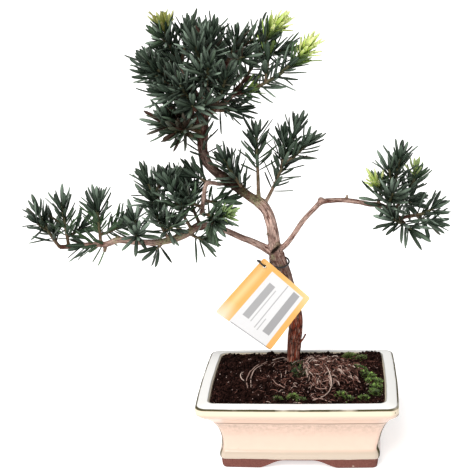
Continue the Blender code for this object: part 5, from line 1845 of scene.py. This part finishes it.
def card_curl(x, y):
    """How far the card stands off its flat, along and across it."""
    return 0.5 * (x / TAG_SIZE[0]) ** 2 - 0.35 * np.sin(np.pi * y / TAG_SIZE[1]) * (x / TAG_SIZE[0])


def make_tag(settings):
    """A card with round corners and a slight curl, hung by its punched hole."""
    down_left, down_right, out = tag_frame()
    u, v, faces, border = grid_of(30, 28)
    x, y = rounded_place(u, v, TAG_SIZE[0] / 2, TAG_SIZE[1] / 2, TAG_CORNER, 0.0)
    x, y = x + TAG_SIZE[0] / 2, y + TAG_SIZE[1] / 2
    curl = card_curl(x, y)
    flat = TAG_TOP_CORNER + np.outer(x * card_flare(y, 0), down_left)
    flat = flat + np.outer(y * card_flare(x, 1), down_right)
    front, back = (flat + np.outer(depth + curl, out) for depth in (TAG_FRONT, TAG_BACK))
    count = len(u)
    faces += [tuple(i + count for i in reversed(face)) for face in faces]
    faces += bridge(border, [i + count for i in border])
    card = add_object("hang_card", np.concatenate([front, back]), faces, card_finish(settings))
    turn_outwards(card)
    hole = TAG_TOP_CORNER + (down_left + down_right) * TAG_HOLE_INSET
    cut_away(card, [add_object("punch", *tube([hole - out * 3, hole + out * 3], [TAG_HOLE_RADIUS] * 2, 28))])
    away = places_of(card) - TAG_TOP_CORNER
    long_way, short_way, depth = away @ down_left, away @ down_right, away @ out
    x, y = long_way, short_way
    for _ in range(4):
        x, y = long_way / card_flare(y, 0), short_way / card_flare(x, 1)
    paint_points(card, "card", np.stack([x, y, depth - card_curl(x, y)], 1))
    card.data.shade_smooth()
    card.data.set_sharp_from_angle(angle=SHARP_ANGLE)
    return settle(card, "card", "hang_tag")


def trunk_at(height):
    """The middle of the trunk at a height."""
    path = limb_path("trunk")
    for a, b in zip(path, path[1:]):
        if a.z <= height <= b.z:
            return a.lerp(b, (height - a.z) / (b.z - a.z)).to_3d()
    raise ValueError("no trunk at this height")


def make_tie(settings):
    """A thin black loop through the tag's hole and round the trunk."""
    down_left, down_right, out = (Vector(way) for way in tag_frame())
    hole = Vector(TAG_TOP_CORNER) + (down_left + down_right) * TAG_HOLE_INSET
    centre = trunk_at(TIE_HEIGHT)
    edge = hole - down_right * TAG_HOLE_INSET
    stations = [hole + out * TIE_FRONT, edge + out * TIE_FRONT, edge - down_right * TIE_OVER_EDGE]
    for angle in (math.radians(heading) for heading in TIE_HEADINGS):
        rise = Vector((0, 0, TIE_RISE * math.sin(angle)))
        stations.append(centre + level_way(angle) * TIE_LOOP_RADIUS + rise)
    stations += [hole - out * far for far in TIE_BEHIND]
    ring = smooth_path([*stations, stations[0]], 7)[:-1]
    radius = settings.tie_radius / MM
    turns = [2 * math.pi * side / TIE_SIDES for side in range(TIE_SIDES)]
    points = []
    for i, middle in enumerate(ring):
        ahead = (ring[(i + 1) % len(ring)] - ring[i - 1]).normalized()
        across = level_of(ahead)
        up = across.cross(ahead)
        points += [middle + radius * (math.cos(turn) * across + math.sin(turn) * up) for turn in turns]
    faces = rings_to_faces(len(ring), TIE_SIDES, closed_ends=False)
    faces += bridge(range(len(points) - TIE_SIDES, len(points)), range(TIE_SIDES))
    tie = add_object("coated_tie", points, faces, plain_finish("Coated Wire", settings.tie, 0.3, 0.5, 0.9))
    turn_outwards(tie)
    tie.data.shade_smooth()
    return settle(tie, "tie", "tag_tie")


def dress_screens():
    """The drain screens keep their shape and get a moulded plastic."""
    finish = plain_finish("Moulded Mesh", BLACK_PLASTIC, 0.4, 0.6, 0.5)
    for name in ("drain_screen_left", "drain_screen_right"):
        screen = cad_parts[name]
        screen.data.materials.clear()
        screen.data.materials.append(finish)


def make_floor(settings):
    """A wide pale floor."""
    brush = new_finish("Pale Floor")
    cloud = brush.cloud(brush.place(), 0.004, 0.6)
    made = brush.shade(brush.over(settings.floor, (cloud, FLOOR_PALE, 0.03)), 0.9, {
        "Emission Color": (1.0, 1.0, 1.0),
        "Emission Strength": settings.glow,
    })
    mesh = bmesh.new()
    bmesh.ops.create_circle(mesh, cap_ends=True, segments=64, radius=FLOOR_RADIUS)
    data = bpy.data.meshes.new("floor")
    mesh.to_mesh(data)
    mesh.free()
    data.materials.append(made)
    floor = add_to_scene("floor", data)


def make_light(settings):
    """Even light from all round, and one soft light from the upper left."""
    world = bpy.data.worlds.new("Studio")
    world.use_nodes = True
    sky = world.node_tree.nodes["Background"]
    sky.inputs["Color"].default_value = (1.0, 1.0, 1.0, 1.0)
    sky.inputs["Strength"].default_value = settings.surroundings
    bpy.context.scene.world = world
    lamp = bpy.data.lights.new("key", "SUN")
    lamp.energy = settings.key
    lamp.angle = math.radians(KEY_SOFTNESS)
    lamp.color = KEY_COLOUR
    add_to_scene("key", lamp).rotation_euler = [math.radians(turn) for turn in KEY_TURNS]


def make_camera():
    """A camera at the photograph's angle."""
    down, turn, roll = (math.radians(a) for a in (CAMERA_DOWN, CAMERA_TURN, CAMERA_ROLL))
    ahead = Vector((math.sin(turn) * math.cos(down), math.cos(turn) * math.cos(down), -math.sin(down)))
    right = ahead.cross(UP).normalized()
    up = right.cross(ahead)
    lens = bpy.data.cameras.new("camera")
    lens.lens = CAMERA_LENS
    lens.sensor_width = SENSOR
    lens.clip_start = 0.01
    camera = add_to_scene("camera", lens)
    rolled_right = right * math.cos(roll) + up * math.sin(roll)
    rolled_up = up * math.cos(roll) - right * math.sin(roll)
    camera.matrix_world = Matrix((rolled_right, rolled_up, -ahead)).transposed().to_4x4()
    camera.location = Vector(lay(CAMERA_PLACE))
    bpy.context.scene.camera = camera
    bpy.context.scene.view_settings.view_transform = "Standard"


class BONSAI_OT_pot(bpy.types.Operator):
    """Make the glazed pot and finish its drain screens"""

    bl_idname = "bonsai.pot"
    bl_label = "Glazed Pot"

    def execute(self, context):
        make_pot(context.scene.bonsai_pot)
        dress_screens()
        return {"FINISHED"}


class BONSAI_OT_soil(bpy.types.Operator):
    """Make the soil and its loose crumbs"""

    bl_idname = "bonsai.soil"
    bl_label = "Soil"

    def execute(self, context):
        make_soil(context.scene.bonsai_soil, context.scene.bonsai_pot)
        make_crumbs(context.scene.bonsai_soil)
        return {"FINISHED"}


class BONSAI_OT_roots(bpy.types.Operator):
    """Make the mat of fine roots and the bare pale roots"""

    bl_idname = "bonsai.roots"
    bl_label = "Fine Roots"

    def execute(self, context):
        make_roots(context.scene.bonsai_roots)
        make_pale_roots()
        return {"FINISHED"}


class BONSAI_OT_moss(bpy.types.Operator):
    """Make the cushions of moss"""

    bl_idname = "bonsai.moss"
    bl_label = "Moss"

    def execute(self, context):
        make_moss(context.scene.bonsai_moss)
        return {"FINISHED"}


class BONSAI_OT_wood(bpy.types.Operator):
    """Make the trunk, limbs and twigs with their bark"""

    bl_idname = "bonsai.wood"
    bl_label = "Barked Wood"

    def execute(self, context):
        paths = spray_paths()
        make_wood(context.scene.bonsai_wood, paths, spray_starts(paths))
        return {"FINISHED"}


class BONSAI_OT_foliage(bpy.types.Operator):
    """Make the leafy sprays and the young shoots"""

    bl_idname = "bonsai.foliage"
    bl_label = "Leafy Sprays"

    def execute(self, context):
        paths = spray_paths()
        starts = spray_starts(paths)
        samples = grain_samples(list(wood_pieces(paths, starts)))
        make_foliage(context.scene.bonsai_leaf, paths, starts, samples)
        return {"FINISHED"}


class BONSAI_OT_tag(bpy.types.Operator):
    """Make the hang tag and its tie"""

    bl_idname = "bonsai.tag"
    bl_label = "Hang Tag"

    def execute(self, context):
        make_tag(context.scene.bonsai_tag)
        make_tie(context.scene.bonsai_tag)
        return {"FINISHED"}


class BONSAI_OT_stage(bpy.types.Operator):
    """Make the floor, the light and the camera"""

    bl_idname = "bonsai.stage"
    bl_label = "Stage"

    def execute(self, context):
        make_floor(context.scene.bonsai_stage)
        make_light(context.scene.bonsai_stage)
        make_camera()
        return {"FINISHED"}


class BONSAI_PT_panel(bpy.types.Panel):
    """Lists the bonsai's operators and settings"""

    bl_idname = "BONSAI_PT_panel"
    bl_label = "Bonsai"
    bl_space_type = "VIEW_3D"
    bl_region_type = "UI"
    bl_category = "Bonsai"

    def draw(self, context):
        for operator in OPERATORS:
            self.layout.operator(operator.bl_idname)
        for name in SETTINGS:
            settings = getattr(context.scene, name)
            box = self.layout.box()
            for key in settings.__annotations__:
                box.prop(settings, key)


SETTINGS = {
    "bonsai_pot": PotSettings, "bonsai_soil": SoilSettings, "bonsai_moss": MossSettings,
    "bonsai_roots": RootSettings, "bonsai_wood": WoodSettings, "bonsai_leaf": LeafSettings,
    "bonsai_tag": TagSettings, "bonsai_stage": StageSettings,
}
OPERATORS = (
    BONSAI_OT_pot, BONSAI_OT_soil, BONSAI_OT_roots, BONSAI_OT_moss, BONSAI_OT_wood, BONSAI_OT_foliage,
    BONSAI_OT_tag, BONSAI_OT_stage,
)
CLASSES = (*SETTINGS.values(), *OPERATORS, BONSAI_PT_panel)


def register():
    for kind in CLASSES:
        bpy.utils.register_class(kind)
    for name, group in SETTINGS.items():
        setattr(bpy.types.Scene, name, PointerProperty(type=group))


def unregister():
    for name in SETTINGS:
        delattr(bpy.types.Scene, name)
    for kind in reversed(CLASSES):
        bpy.utils.unregister_class(kind)


def main():
    register()
    bpy.ops.bonsai.pot()
    bpy.ops.bonsai.soil()
    bpy.ops.bonsai.roots()
    bpy.ops.bonsai.moss()
    bpy.ops.bonsai.wood()
    bpy.ops.bonsai.foliage()
    bpy.ops.bonsai.tag()
    bpy.ops.bonsai.stage()


if __name__ == "__main__":
    main()
